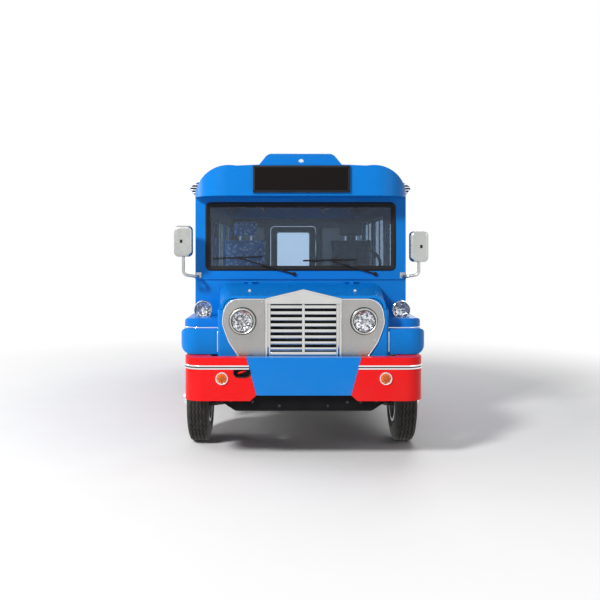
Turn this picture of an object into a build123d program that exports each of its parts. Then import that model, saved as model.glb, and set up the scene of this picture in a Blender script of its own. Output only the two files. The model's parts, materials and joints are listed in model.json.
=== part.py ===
"""City bus with a long nose: a steel body on a ladder frame, engine in front.

Millimetres. The front faces -Y, +X is the driver's side (the vehicle's left), +Z is up.
The origin is on the ground, midway between the two bumpers.
"""

import math
import os

from build123d import *

# Overall lengths, measured along Y
LENGTH = 6150.0
FRONT_OVERHANG = 880.0
WHEELBASE = 3400.0
NOSE_SET = 150.0
COWL_SET = 1100.0
BROW_SET = 800.0
REAR_WALL_SET = 85.0

# Body section
BODY_W = 2012.0
WALL_T = 46.0
SKIRT_Z = 520.0
FLOOR_Z = 880.0
FLOOR_T = 50.0
ROOF_SIDE_Z = 2290.0
EAVE_DROP = 36.0
HEAD_DROP = 124.0
SHOULDER_X = 600.0
SHOULDER_RISE = 240.0
CROWN_RISE = 15.0
BROW_CORNER_R = 330.0
SILL_Z = 1440.0
PANEL_GAP = 6.0
FIT = 0.3

# Running gear
TYRE_R = 388.0
TYRE_W = 198.0
RIM_R = 203.0
RIM_W = 160.0
FRONT_TRACK = 1856.0
REAR_OUTER_X = 885.0
TWIN_PITCH = 230.0
KINGPIN_X = 800.0
KINGPIN_R = 16.0
SPINDLE_R = 32.0
RUNNING = 0.1
RAIL_X = 380.0
RAIL_W = 70.0
RAIL_Z = 520.0
RAIL_H = 180.0

# Stations and heights that follow from these
FRONT_Y = -LENGTH / 2
REAR_Y = LENGTH / 2
FRONT_AXLE_Y = FRONT_Y + FRONT_OVERHANG
REAR_AXLE_Y = FRONT_AXLE_Y + WHEELBASE
NOSE_Y = FRONT_Y + NOSE_SET
COWL_Y = FRONT_Y + COWL_SET
BROW_Y = FRONT_Y + BROW_SET
BACK_Y = REAR_Y - REAR_WALL_SET
SIDE_X = BODY_W / 2
INNER_X = SIDE_X - WALL_T
CABIN_FRONT_Y = COWL_Y + WALL_T
CABIN_BACK_Y = BACK_Y - WALL_T
EAVE_Z = ROOF_SIDE_Z - EAVE_DROP
HEAD_Z = EAVE_Z - HEAD_DROP
SHOULDER_Z = ROOF_SIDE_Z + SHOULDER_RISE
CROWN_Z = SHOULDER_Z + CROWN_RISE
RAIL_TOP = RAIL_Z + RAIL_H
RAIL_OUT = RAIL_X + RAIL_W

parts = {}


def block(x, y, z):
    """Box between the low and high values given for each axis."""
    spans = [sorted(pair) for pair in (x, y, z)]
    size = [high - low for low, high in spans]
    middle = [(low + high) / 2 for low, high in spans]
    return Pos(*middle) * Box(*size)


def outline(corners):
    """Closed face from (u, v, radius) corners, joined by lines and tangent arcs."""
    count = len(corners)
    ends = []
    for i, (u, v, radius) in enumerate(corners):
        here = Vector(u, v)
        back = (Vector(*corners[i - 1][:2]) - here).normalized()
        ahead = (Vector(*corners[(i + 1) % count][:2]) - here).normalized()
        if not radius:
            ends.append((here, None, here))
            continue
        half = math.radians(back.get_angle(ahead)) / 2
        reach = radius / math.tan(half)
        middle = here + (back + ahead).normalized() * (radius / math.sin(half) - radius)
        ends.append((here + back * reach, middle, here + ahead * reach))
    edges = []
    for i, (start, middle, end) in enumerate(ends):
        following = ends[(i + 1) % count][0]
        if middle is not None:
            edges.append(ThreePointArc(start, middle, end))
        if (following - end).length > 1e-6:
            edges.append(Line(end, following))
    return make_face(edges)


def lay(axis, low):
    """Plane across an axis at `low`: (u, v) is (y, z) for x, (x, z) for y and (x, y) for z."""
    if axis == "x":
        return Plane(origin=(low, 0, 0), x_dir=(0, 1, 0), z_dir=(1, 0, 0))
    if axis == "y":
        return Plane(origin=(0, low, 0), x_dir=(1, 0, 0), z_dir=(0, -1, 0))
    return Plane(origin=(0, 0, low), x_dir=(1, 0, 0), z_dir=(0, 0, 1))


def through(axis, face, low, high):
    """Extrudes a flat face along an axis from low to high."""
    start, reach = (high, high - low) if axis == "y" else (low, high - low)
    return extrude(lay(axis, start) * face, reach)


def prism(axis, corners, low, high):
    return through(axis, outline(corners), low, high)


def rod(axis, at, radius, low, high, bore=0.0):
    """Round bar or tube along an axis, through the point `at` of the other two axes."""
    face = Circle(radius) - Circle(bore) if bore else Circle(radius)
    return through(axis, Pos(*at) * face, low, high)


def bar(start, end, radius):
    """Round bar between two points."""
    start, end = Vector(*start), Vector(*end)
    return extrude(Plane(origin=start, z_dir=end - start) * Circle(radius), (end - start).length)


def bent_tube(points, radius, bend):
    """Round tube along straight runs joined by arcs of one bend radius."""
    path = FilletPolyline(*points, radius=bend)
    first = Vector(*points[1]) - Vector(*points[0])
    return sweep(Plane(origin=points[0], z_dir=first) * Circle(radius), path)


def window(u, v, radius):
    """Rectangle with rounded corners between the low and high values of u and v."""
    (u0, u1), (v0, v1) = u, v
    return outline([(u0, v0, radius), (u1, v0, radius), (u1, v1, radius), (u0, v1, radius)])


def flip(shape):
    return mirror(shape, about=Plane.YZ)


def pair(shape):
    """A shape and its mirror image on the other side, as separate solids."""
    return [*shape.solids(), *flip(shape).solids()]


def keep(name, *shapes):
    """Files the solids of one sub-part under its name."""
    solids = []
    for shape in shapes:
        solids.extend(shape if isinstance(shape, list) else shape.solids())
    parts[name] = solids


# Ladder frame
CROSS_T = 60.0
CROSS_H = 105.0
CROSS_SET = (1275.0, 2275.0)
FRAME_FRONT_GAP = 250.0
FRAME_REAR_GAP = 150.0
rail_y = (FRONT_Y + FRAME_FRONT_GAP, REAR_Y - FRAME_REAR_GAP)
cross_stations = [rail_y[0] + CROSS_T, *[COWL_Y + back for back in CROSS_SET], (REAR_AXLE_Y + rail_y[1]) / 2,
                  rail_y[1] - CROSS_T]
frame_pieces = [block((sign * RAIL_X, sign * RAIL_OUT), rail_y, (RAIL_Z, RAIL_TOP)) for sign in (-1, 1)]
frame_pieces += [block((-RAIL_X, RAIL_X), (y - CROSS_T / 2, y + CROSS_T / 2), (RAIL_TOP - CROSS_H, RAIL_TOP))
                 for y in cross_stations]

# Leaf springs: half length, mid-height above the axle centre and thickness of each pack
SPRING_W = 64.0
SPRING_EYE_Z = RAIL_Z - 12.0
FRONT_PAD = 42.0
REAR_PAD = 78.0
HANGER_L = 90.0
springs = [(FRONT_AXLE_Y, 560.0, FRONT_PAD, 34.0), (REAR_AXLE_Y, 620.0, REAR_PAD, 40.0)]


def leaf_pack(axle_y, half, pad, thick):
    """Curved leaf pack under one rail, seated on the axle pad and hung from the rail at both ends."""
    seat = TYRE_R + pad
    flat = SPRING_W
    low = [(axle_y - half, SPRING_EYE_Z - thick), (axle_y - flat, seat), (axle_y + flat, seat),
           (axle_y + half, SPRING_EYE_Z - thick)]
    high = [(y, z + thick) for y, z in reversed(low)]
    return prism("x", [(*p, 0) for p in low + high], RAIL_X, RAIL_X + SPRING_W)


spring_packs = []
for axle_y, half, pad, thick in springs:
    hangers = [block((RAIL_X, RAIL_X + SPRING_W), (y - HANGER_L / 2, y + HANGER_L / 2),
                     (SPRING_EYE_Z - thick / 2, RAIL_Z))
             for y in (axle_y - half + HANGER_L / 2, axle_y + half - HANGER_L / 2)]
    spring_packs += pair(leaf_pack(axle_y, half, pad, thick) + hangers[0] + hangers[1])
keep("leaf_springs", spring_packs)

# Front axle: dropped beam with a bored eye for each kingpin
EYE_R = 42.0
EYE_H = 84.0
BEAM_D = 70.0
BEAM_DROP = 60.0
beam_low = TYRE_R - EYE_H / 2 - BEAM_DROP
beam_high = TYRE_R - BEAM_DROP + EYE_H / 2
drop_x = RAIL_X - 110
eye_top = TYRE_R + FRONT_PAD
beam = prism("y", [
    (-KINGPIN_X, TYRE_R - EYE_H / 2, 0), (-RAIL_OUT - 60, TYRE_R - EYE_H / 2, 0), (-drop_x, beam_low, 0),
    (drop_x, beam_low, 0), (RAIL_OUT + 60, TYRE_R - EYE_H / 2, 0), (KINGPIN_X, TYRE_R - EYE_H / 2, 0),
    (KINGPIN_X, eye_top, 0), (RAIL_X - 30, eye_top, 0), (drop_x - 40, beam_high, 0),
    (-drop_x + 40, beam_high, 0), (-RAIL_X + 30, eye_top, 0), (-KINGPIN_X, eye_top, 0)],
    FRONT_AXLE_Y - BEAM_D / 2, FRONT_AXLE_Y + BEAM_D / 2)
for sign in (-1, 1):
    at = (sign * KINGPIN_X, FRONT_AXLE_Y)
    beam += rod("z", at, EYE_R, TYRE_R - EYE_H / 2, eye_top)
    beam -= rod("z", at, KINGPIN_R + RUNNING, TYRE_R - 2 * EYE_H, TYRE_R + 2 * EYE_H)
keep("front_axle", beam)

# Steering knuckles: forked lugs on a kingpin, a spindle outwards and an arm backwards
LUG_T = 26.0
LUG_GAP = 0.5
ARM_L = 200.0
ARM_IN = 40.0
ARM_T = 24.0
HUB_X = FRONT_TRACK / 2
FRONT_DISC = 76.0
SPINDLE_END = HUB_X + FRONT_DISC + 30.0
WEB_IN = EYE_R + 8.0
WEB_OUT = WEB_IN + 36.0
lug_low = TYRE_R - EYE_H / 2 - LUG_GAP
lug_high = eye_top + LUG_GAP


def knuckle(sign):
    """Fork, kingpin, spindle and steering arm of one front wheel."""
    kx = sign * KINGPIN_X
    web = block((kx + sign * WEB_IN, kx + sign * WEB_OUT), (FRONT_AXLE_Y - 45, FRONT_AXLE_Y + 45),
                (lug_low - LUG_T, lug_high + LUG_T))
    shape = web + rod("z", (kx, FRONT_AXLE_Y), KINGPIN_R, lug_low - LUG_T, lug_high + LUG_T)
    for z in (lug_low - LUG_T, lug_high):
        shape += block((kx, kx + sign * WEB_OUT), (FRONT_AXLE_Y - 38, FRONT_AXLE_Y + 38), (z, z + LUG_T))
        shape += rod("z", (kx, FRONT_AXLE_Y), 38, z, z + LUG_T)
    ends = sorted((kx + sign * WEB_IN, sign * SPINDLE_END))
    shape += rod("x", (FRONT_AXLE_Y, TYRE_R), SPINDLE_R, *ends)
    arm_z = (lug_low - LUG_T, lug_low - LUG_T + ARM_T)
    arm_x = kx - sign * ARM_IN
    shape += block((arm_x - 22, arm_x + 22), (FRONT_AXLE_Y, FRONT_AXLE_Y + ARM_L), arm_z)
    shape += rod("z", (arm_x, FRONT_AXLE_Y + ARM_L), 30, *arm_z)
    return shape


keep("knuckle_left", knuckle(1))
keep("knuckle_right", knuckle(-1))

# Track rod between the two steering arms, just under their ends
ROD_R = 17.0
ROD_DROP = 0.5
rod_z = lug_low - LUG_T - ROD_DROP - ROD_R
rod_y = FRONT_AXLE_Y + ARM_L
rod_end = KINGPIN_X - ARM_IN
track_rod = rod("x", (rod_y, rod_z), ROD_R, -rod_end, rod_end)
for sign in (-1, 1):
    track_rod += rod("z", (sign * rod_end, rod_y), ROD_R * 1.7, rod_z - ROD_R, rod_z + ROD_R)
keep("track_rod", track_rod)

# Wheels: rim barrel, dished disc with hand holes, hub and nuts, about the X axis
RIM_T = 9.0
FLANGE_R = RIM_R + 15.0
DISC_T = 14.0
DISC_FLAT_R = 150.0
HUB_R = 74.0
DRUM_R = 160.0
NUT_PCD = 222.0
NUT_COUNT = 6
NUT_R = 15.0
NUT_L = 34.0
HOLE_R = 19.0
HOLE_PCD = 344.0
HOLE_COUNT = 8
CAP_L = 28.0
STUB_R = 52.0
half_rim = RIM_W / 2


def turned(points):
    """Ring turned about X from (x, radius) points."""
    return revolve(make_face(Polyline(*points, close=True)), Axis.X)


def rim(face, attach):
    """Pressed rim centred on x = 0: barrel and a disc dished from `attach` to its flat centre at `face`."""
    low, high = -half_rim - RIM_T, half_rim + RIM_T
    inside = RIM_R - RIM_T
    barrel = turned([(low, inside), (high, inside), (high, FLANGE_R), (half_rim, FLANGE_R), (half_rim, RIM_R),
                     (-half_rim, RIM_R), (-half_rim, FLANGE_R), (low, FLANGE_R)])
    core = SPINDLE_R / 2
    root = inside + RIM_T / 2
    disc = turned([(face, core), (face, DISC_FLAT_R), (attach, root), (attach + DISC_T, root),
                   (face + DISC_T, DISC_FLAT_R), (face + DISC_T, core)])
    for i in range(HOLE_COUNT):
        turn = math.radians(360 * (i + 0.5) / HOLE_COUNT)
        at = (HOLE_PCD / 2 * math.cos(turn), HOLE_PCD / 2 * math.sin(turn))
        disc -= rod("x", at, HOLE_R, -TWIN_PITCH, TWIN_PITCH)
    return barrel + disc


def nut_ring(low):
    """Ring of wheel nuts that stand outwards from x = low."""
    ring = []
    for i in range(NUT_COUNT):
        turn = math.radians(360 * i / NUT_COUNT)
        at = (NUT_PCD / 2 * math.cos(turn), NUT_PCD / 2 * math.sin(turn))
        ring.append(rod("x", at, NUT_R, low, low + NUT_L))
    return ring


def tyre():
    """Tyre section revolved about X: beads on the rim, bulged walls, rounded shoulders."""
    bead = half_rim - FIT
    wall = TYRE_W / 2
    foot = RIM_R + FIT
    lip = FLANGE_R + 4
    shoulder = (wall - 17, TYRE_R - 16)
    crown = (wall - 34, TYRE_R)
    middle = (foot + TYRE_R) / 2
    right = [Line((bead, foot), (bead, lip)), ThreePointArc((bead, lip), (wall, middle), shoulder),
             ThreePointArc(shoulder, (wall - 22, TYRE_R - 5), crown)]
    left = [mirror(edge, about=Plane.YZ) for edge in right]
    caps = [Line((-bead, foot), (bead, foot)), Line((-crown[0], TYRE_R), crown)]
    return revolve(make_face(right + left + caps), Axis.X)


front_face = FRONT_DISC + DISC_T
front_hub = rod("x", (0, 0), HUB_R, -half_rim / 3, front_face + NUT_L)
front_wheel = rim(FRONT_DISC, FRONT_DISC / 2) + front_hub
front_wheel += rod("x", (0, 0), DRUM_R, -half_rim / 3, half_rim / 3)
front_wheel -= rod("x", (0, 0), SPINDLE_R + RUNNING, -TWIN_PITCH, TWIN_PITCH)
front_wheel += rod("x", (0, 0), HUB_R * 0.75, front_face + NUT_L, front_face + NUT_L + CAP_L)
for nut in nut_ring(front_face):
    front_wheel += nut

# Rear twins share one hub: the two discs meet halfway between the rims
inner_x = REAR_OUTER_X - TWIN_PITCH
twin_x = inner_x + TWIN_PITCH / 2
rear_wheel = Pos(inner_x, 0, 0) * rim(TWIN_PITCH / 2 - DISC_T, half_rim / 2)
rear_wheel += Pos(REAR_OUTER_X, 0, 0) * rim(-TWIN_PITCH / 2, -half_rim / 2 - DISC_T)
rear_wheel += rod("x", (0, 0), DRUM_R, inner_x - half_rim, twin_x)
rear_wheel += rod("x", (0, 0), HUB_R, twin_x, REAR_OUTER_X + half_rim / 2)
rear_wheel -= rod("x", (0, 0), STUB_R + RUNNING, 0, REAR_OUTER_X)
for nut in nut_ring(twin_x + DISC_T):
    rear_wheel += nut

front_hub_at = Pos(0, FRONT_AXLE_Y, TYRE_R)
rear_hub_at = Pos(0, REAR_AXLE_Y, TYRE_R)
left_wheels = [
    ("front", front_hub_at * Pos(HUB_X, 0, 0) * front_wheel, [front_hub_at * Pos(HUB_X, 0, 0) * tyre()]),
    ("rear", rear_hub_at * rear_wheel,
     [rear_hub_at * Pos(x, 0, 0) * tyre() for x in (inner_x, REAR_OUTER_X)])]
for end, wheel, tyres in left_wheels:
    keep(f"wheel_{end}_left", wheel)
    keep(f"wheel_{end}_right", flip(wheel))
    keep(f"tyre_{end}_left", *tyres)
    keep(f"tyre_{end}_right", *[flip(t) for t in tyres])

# Rear axle: tube, stubs in the hubs, bowl for the final drive
AXLE_R = 60.0
BOWL_R = 165.0
STUB_END = REAR_OUTER_X - 60.0
axle = rod("x", (REAR_AXLE_Y, TYRE_R), AXLE_R, -inner_x + half_rim + 30, inner_x - half_rim - 30)
axle += rod("x", (REAR_AXLE_Y, TYRE_R), STUB_R, -STUB_END, STUB_END)
axle += rear_hub_at * Sphere(BOWL_R)
for sign in (-1, 1):
    axle += block((sign * RAIL_X, sign * (RAIL_X + SPRING_W)),
                  (REAR_AXLE_Y - SPRING_W, REAR_AXLE_Y + SPRING_W),
                  (TYRE_R, TYRE_R + REAR_PAD))
keep("rear_axle", axle)

# Engine with gearbox, radiator and propeller shaft
ENGINE_X = 270.0
ENGINE_Z = (560.0, 1180.0)
GEARBOX_X = 170.0
GEARBOX_Z = (RAIL_Z + 10, 800.0)
GEARBOX_L = 620.0
RADIATOR_X = 310.0
RADIATOR_Z = (RAIL_TOP, 1290.0)
RADIATOR_T = 70.0
FAN_GAP = 60.0
radiator_y = NOSE_Y + 90
engine_y = radiator_y + RADIATOR_T + FAN_GAP
gearbox_end = COWL_Y + 60 + GEARBOX_L
keep("engine", block((-ENGINE_X, ENGINE_X), (engine_y, COWL_Y - 70), ENGINE_Z)
     + block((-GEARBOX_X, GEARBOX_X), (COWL_Y - 70, gearbox_end), GEARBOX_Z)
     + block((-RAIL_X, RAIL_X), (FRONT_AXLE_Y - 220, FRONT_AXLE_Y - 140), (RAIL_Z + 60, RAIL_Z + 130)))
keep("radiator", block((-RADIATOR_X, RADIATOR_X), (radiator_y, radiator_y + RADIATOR_T), RADIATOR_Z)
     + block((-RAIL_OUT, RAIL_OUT), (radiator_y, radiator_y + RADIATOR_T), (RAIL_TOP, RAIL_TOP + 50)))
SHAFT_R = 44.0
OUTPUT_Z = 580.0
shaft_start = (0, gearbox_end, OUTPUT_Z)
shaft_end = (0, REAR_AXLE_Y - BOWL_R - 4, TYRE_R + 20)
keep("propeller_shaft", bar(shaft_start, shaft_end, SHAFT_R) - parts["engine"][0])

# Body openings as stations along Y
DOOR_W = 800.0
FRONT_DOOR_Y = COWL_Y + 415.0
ENTRY_DOOR_Y = FRONT_DOOR_Y + DOOR_W + 140.0
ENTRY_SILL_Z = 560.0
POST_W = 90.0
QUARTER = (COWL_Y + 100.0, FRONT_DOOR_Y - 80.0)
PANE_R = 55.0
DOOR_R = 70.0
ARCH_R = 475.0
REAR_ARCH_R = 460.0
LAST_WINDOW_Y = CABIN_BACK_Y - 130.0
door_end = FRONT_DOOR_Y + DOOR_W
entry_end = ENTRY_DOOR_Y + DOOR_W


def window_bays(start, count):
    """Equal windows with posts between them, from a start station back to the last post."""
    width = (LAST_WINDOW_Y - start - POST_W * (count - 1)) / count
    return [(start + i * (width + POST_W), start + i * (width + POST_W) + width) for i in range(count)]


bays = {"left": [QUARTER, *window_bays(door_end + 120, 3)],
        "right": [QUARTER, (FRONT_DOOR_Y, door_end), *window_bays(entry_end + 120, 2)]}
# Doorway of each side: front and rear stations, sill height, corner radius
doorways = {"left": (FRONT_DOOR_Y, door_end, FLOOR_Z, DOOR_R),
            "right": (ENTRY_DOOR_Y, entry_end, ENTRY_SILL_Z, 0)}


def side_wall(side):
    """Whole side of the body, drawn on the +X side, with its arches, windows and doorways cut."""
    face = window((CABIN_FRONT_Y, CABIN_BACK_Y), (SKIRT_Z, EAVE_Z), 0)
    face -= Pos(FRONT_AXLE_Y, TYRE_R) * Circle(ARCH_R)
    face -= Pos(REAR_AXLE_Y, TYRE_R) * Circle(REAR_ARCH_R)
    for start, end in bays[side]:
        face -= window((start, end), (SILL_Z, HEAD_Z), PANE_R)
    start, end, low, radius = doorways[side]
    face -= window((start, end), (low, HEAD_Z), radius)
    return through("x", face, INNER_X, SIDE_X)


def panels(side):
    """The finished wall as its sill, lower, waist and window panels and header, which meet edge to edge."""
    start, end, low, _ = doorways[side]
    out = SIDE_X + BARREL_R + AXIS_OUT
    sill = block((INNER_X, SIDE_X), (start, end), (SKIRT_Z, low))
    wall = walls[side] - sill
    levels = (SKIRT_Z, TYRE_R + max(ARCH_R, REAR_ARCH_R), SILL_Z, HEAD_Z, EAVE_Z)
    spans = [(levels[i], levels[i + 1]) for i in range(len(levels) - 1)]
    return [sill, *[wall & block((0, out), (CABIN_FRONT_Y, CABIN_BACK_Y), span) for span in spans]]


walls = {side: side_wall(side) for side in bays}

# Front wall with the windscreen opening and the cowl ledge
SCREEN_POST = 102.0
SCREEN_HEAD = 50.0
SCREEN_Z = (1563.0, EAVE_Z - SCREEN_HEAD)
SCREEN_R = 45.0
screen_x = SIDE_X - SCREEN_POST
LEDGE_Z = 1474.0
LEDGE = 14.0
WALL_LOW = FLOOR_Z - FLOOR_T
front_face = window((-SIDE_X, SIDE_X), (WALL_LOW, EAVE_Z), 0)
front_face -= window((-screen_x, screen_x), SCREEN_Z, SCREEN_R)
front_wall = through("y", front_face, COWL_Y, CABIN_FRONT_Y)
front_wall += block((-SIDE_X, SIDE_X), (COWL_Y - LEDGE, COWL_Y), (LEDGE_Z, LEDGE_Z + LEDGE))

# Rear wall with the emergency doorway and a window each side
REAR_DOOR_X = 360.0
REAR_PANE_X = (440.0, SIDE_X - 106.0)
rear_face = window((-SIDE_X, SIDE_X), (SKIRT_Z, EAVE_Z), 0)
rear_face -= window((-REAR_DOOR_X, REAR_DOOR_X), (FLOOR_Z, HEAD_Z), DOOR_R)
for sign in (-1, 1):
    rear_face -= window(sorted(sign * x for x in REAR_PANE_X), (SILL_Z, HEAD_Z), PANE_R)
rear_wall = through("y", rear_face, CABIN_BACK_Y, BACK_Y)

# Floor with cross bearers on the frame and a well for the entry steps
WELL_X = 300.0
STEP_T = 24.0
BEARER_T = 60.0
BEARER_SET = 2075.0
well_y = (ENTRY_DOOR_Y + 20, entry_end - 20)
well_x = (-INNER_X, -INNER_X + WELL_X)
floor = [block(x, y, (WALL_LOW, FLOOR_Z)) for x, y in (
    ((well_x[1], INNER_X), (CABIN_FRONT_Y, CABIN_BACK_Y)),
    (well_x, (CABIN_FRONT_Y, well_y[0])), (well_x, (well_y[1], CABIN_BACK_Y)))]
bearer_x = RAIL_OUT + 60
bearers = [block((-bearer_x, bearer_x), (y - BEARER_T / 2, y + BEARER_T / 2), (RAIL_TOP, WALL_LOW))
           for y in (gearbox_end + 60, COWL_Y + BEARER_SET, REAR_AXLE_Y + 560, CABIN_BACK_Y - 200)]

# Entry steps: two treads with risers inside the floor well
STEP_RISE = 160.0
step_mid = sum(well_x) / 2
low_tread, high_tread = ENTRY_SILL_Z, ENTRY_SILL_Z + STEP_RISE
steps = [block(x, well_y, z) for x, z in (
    ((well_x[0], step_mid), (low_tread - STEP_T, low_tread)),
    ((step_mid - STEP_T, step_mid), (low_tread, high_tread - STEP_T)),
    ((step_mid - STEP_T, well_x[1]), (high_tread - STEP_T, high_tread)),
    ((well_x[1] - STEP_T, well_x[1]), (high_tread, FLOOR_Z)))]
keep("floor", *floor, *steps, *bearers)


def roof_section(drop, half):
    """Arched roof section: round shoulders that rise from the eaves to a nearly flat crown."""
    knee = (half - SHOULDER_X) * math.sqrt(0.5)
    rise = (SHOULDER_Z - ROOF_SIDE_Z) * math.sqrt(0.5)
    side, top = ROOF_SIDE_Z - drop, SHOULDER_Z - drop
    bend = (SHOULDER_X + knee, side + rise)
    edges = [Line((half, EAVE_Z), (half, side)), ThreePointArc((half, side), bend, (SHOULDER_X, top)),
             Line((-half, side), (-half, EAVE_Z)),
             ThreePointArc((-SHOULDER_X, top), (-bend[0], bend[1]), (-half, side)),
             ThreePointArc((SHOULDER_X, top), (0, CROWN_Z - drop), (-SHOULDER_X, top)),
             Line((-half, EAVE_Z), (half, EAVE_Z))]
    return make_face(edges)


# Roof with a round-cornered brow over the windscreen, hollow over the cabin
ROOF_BACK_R = 60.0
ROOF_LIP = 30.0
ROOF_EASE = 3.0
plan_x = SIDE_X + ROOF_EASE
plan = [(-plan_x, BROW_Y, BROW_CORNER_R), (plan_x, BROW_Y, BROW_CORNER_R),
        (plan_x, BACK_Y, ROOF_BACK_R), (-plan_x, BACK_Y, ROOF_BACK_R)]
roof_outer = through("y", roof_section(0, SIDE_X), BROW_Y - ROOF_EASE, BACK_Y + ROOF_EASE)
roof_outer &= prism("z", plan, EAVE_Z - ROOF_EASE, CROWN_Z + ROOF_EASE)
roof_hollow = through("y", roof_section(ROOF_LIP, INNER_X), CABIN_FRONT_Y, CABIN_BACK_Y)
keep("roof", roof_outer - roof_hollow)

# Eaves along both sides
EAVE_REACH = 64.0
EAVE_EDGE_Z = (ROOF_SIDE_Z + 56.0, ROOF_SIDE_Z + 78.0)
eave_y = (COWL_Y + 130, BACK_Y - ROOF_BACK_R)
eave_x = SIDE_X + EAVE_REACH
eave = prism("y", [(INNER_X, EAVE_Z + 6, 0), (SIDE_X, EAVE_Z + 6, 0), (eave_x, EAVE_EDGE_Z[0], 0),
                   (eave_x, EAVE_EDGE_Z[1], 0), (SIDE_X - 70, ROOF_SIDE_Z + 158, 0)], *eave_y) - roof_outer
keep("roof_eaves", pair(eave))

# Air conditioner pod on the roof
POD_X = (440.0, 310.0)
POD_RISE = 162.0
POD_SET = 310.0
POD_L = 1700.0
POD_SLOPE = 170.0
pod_y = BROW_Y + POD_SET
pod_z = SHOULDER_Z + POD_RISE
pod = prism("y", [(-POD_X[0], SHOULDER_Z - 10, 0), (POD_X[0], SHOULDER_Z - 10, 0), (POD_X[1], pod_z, 90),
                  (-POD_X[1], pod_z, 90)], pod_y, pod_y + POD_L)
pod &= prism("x", [(pod_y, SHOULDER_Z - 10, 0), (pod_y + POD_L, SHOULDER_Z - 10, 0),
                   (pod_y + POD_L - POD_SLOPE, pod_z, 80),
                   (pod_y + POD_SLOPE / 2, pod_z, 60)], -SIDE_X, SIDE_X)
keep("roof_pod", pod - roof_outer)

# Hinges: two fixed barrels on a pin with a bored barrel between them
BARREL_R = 11.0
PIN_R = 6.0
HINGE_L = 120.0
LEAF_T = 8.0
LEAF_L = 46.0
AXIS_OUT = 13.0
BARREL_GAP = 0.5
third = HINGE_L / 6


def hinge(axis, at, middle):
    """Fixed barrels with their pin, and the moving barrel, about one axis line."""
    ends = (middle - HINGE_L / 2, middle + HINGE_L / 2)
    fixed = rod(axis, at, BARREL_R, ends[0], middle - third - BARREL_GAP)
    fixed += rod(axis, at, BARREL_R, middle + third + BARREL_GAP, ends[1])
    fixed += rod(axis, at, PIN_R, *ends)
    return fixed, rod(axis, at, BARREL_R, middle - third, middle + third, PIN_R + RUNNING)


def thirds(middle):
    """Spans of the two fixed leaves and of the moving leaf beside a hinge."""
    fixed = [(middle - HINGE_L / 2, middle - third - BARREL_GAP),
             (middle + third + BARREL_GAP, middle + HINGE_L / 2)]
    return fixed, (middle - third, middle + third)


# Hood: a shell that widens and rises to the cowl, hinged along its rear edge
HOOD_T = 22.0
HOOD_FRONT_Y = NOSE_Y
HOOD_BACK_Y = COWL_Y - 20.0
HOOD_X = (690.0, 774.0)
HOOD_LOW = (1262.0, 1323.0)
HOOD_TOP = (1372.0, 1436.0)
HOOD_R = (104.0, 96.0)
HOOD_AXIS = (COWL_Y - 26.0, HOOD_TOP[1] + 16.0)
HOOD_HINGE_X = 480.0


def hood_body(inset, stretch):
    """Loft between the front and rear hood sections, shrunk by `inset` and lengthened by `stretch`."""
    sections = []
    for i, y in enumerate((HOOD_FRONT_Y - stretch, HOOD_BACK_Y + stretch)):
        half, high, low = HOOD_X[i] - inset, HOOD_TOP[i] - inset, HOOD_LOW[i] - (stretch and 40)
        radius = HOOD_R[i] - inset
        sections.append(lay("y", y) * outline([(-half, low, 0), (half, low, 0), (half, high, radius),
                                               (-half, high, radius)]))
    return loft(sections)


hood = hood_body(0, 0) - hood_body(HOOD_T, 1)
for x in (-HOOD_HINGE_X, HOOD_HINGE_X):
    fixed, moving = hinge("x", HOOD_AXIS, x)
    ends, span = thirds(x)
    hood += moving
    hood += block(span, (HOOD_BACK_Y - LEAF_L, HOOD_AXIS[0] - PIN_R - 1),
                  (HOOD_TOP[1] - 12, HOOD_AXIS[1] - 2))
    front_wall += fixed
    for end in ends:
        front_wall += block(end, (HOOD_AXIS[0] + 4, COWL_Y),
                            (HOOD_AXIS[1] - LEAF_T / 2, HOOD_AXIS[1] + LEAF_T / 2))
keep("hood", hood)
keep("front_wall", front_wall)

# Nose: front panel and flaring sides with a ledge under the hood's edges
NOSE_X = (714.0, 780.0)
NOSE_R = 28.0
NOSE_T = 24.0
NOSE_LOW = 868.0
PANEL_X = HOOD_X[0] - HOOD_T - PANEL_GAP
PANEL_TOP = HOOD_TOP[0] - HOOD_T - PANEL_GAP


def nose_plan(inset):
    front = NOSE_Y + inset
    return [(-NOSE_X[1] + inset, COWL_Y + inset, 0), (-NOSE_X[0] + inset, front, NOSE_R - inset),
            (NOSE_X[0] - inset, front, NOSE_R - inset), (NOSE_X[1] - inset, COWL_Y + inset, 0)]


def under_slope(drop):
    """Everything below the line of the hood's lower edges, `drop` lower."""
    slope = (HOOD_LOW[1] - HOOD_LOW[0]) / (HOOD_BACK_Y - HOOD_FRONT_Y)
    front, back = HOOD_FRONT_Y - 200, COWL_Y + 200
    heights = [HOOD_LOW[0] + slope * (y - HOOD_FRONT_Y) - drop for y in (front, back)]
    return prism("x", [(front, 0, 0), (back, 0, 0), (back, heights[1], 0), (front, heights[0], 0)],
                 -SIDE_X, SIDE_X)


nose = prism("z", nose_plan(0), NOSE_LOW, HOOD_TOP[1]) & under_slope(PANEL_GAP)
nose -= prism("z", nose_plan(NOSE_T), 0, HOOD_TOP[1]) & under_slope(PANEL_GAP + NOSE_T)
mouth = 60.0
nose -= prism("z", [(-HOOD_X[1] + mouth, COWL_Y + 1, 0), (-HOOD_X[0] + mouth, NOSE_Y + NOSE_T, 0),
                    (HOOD_X[0] - mouth, NOSE_Y + NOSE_T, 0),
                    (HOOD_X[1] - mouth, COWL_Y + 1, 0)], 0, 2 * HOOD_TOP[1])
nose += prism("y", [(-PANEL_X, NOSE_LOW, 0), (PANEL_X, NOSE_LOW, 0), (PANEL_X, PANEL_TOP, HOOD_R[0] - 28),
                    (-PANEL_X, PANEL_TOP, HOOD_R[0] - 28)], NOSE_Y, NOSE_Y + NOSE_T)
GRILLE_X = 275.0
GRILLE_Z = (905.0, 1305.0)
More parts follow.
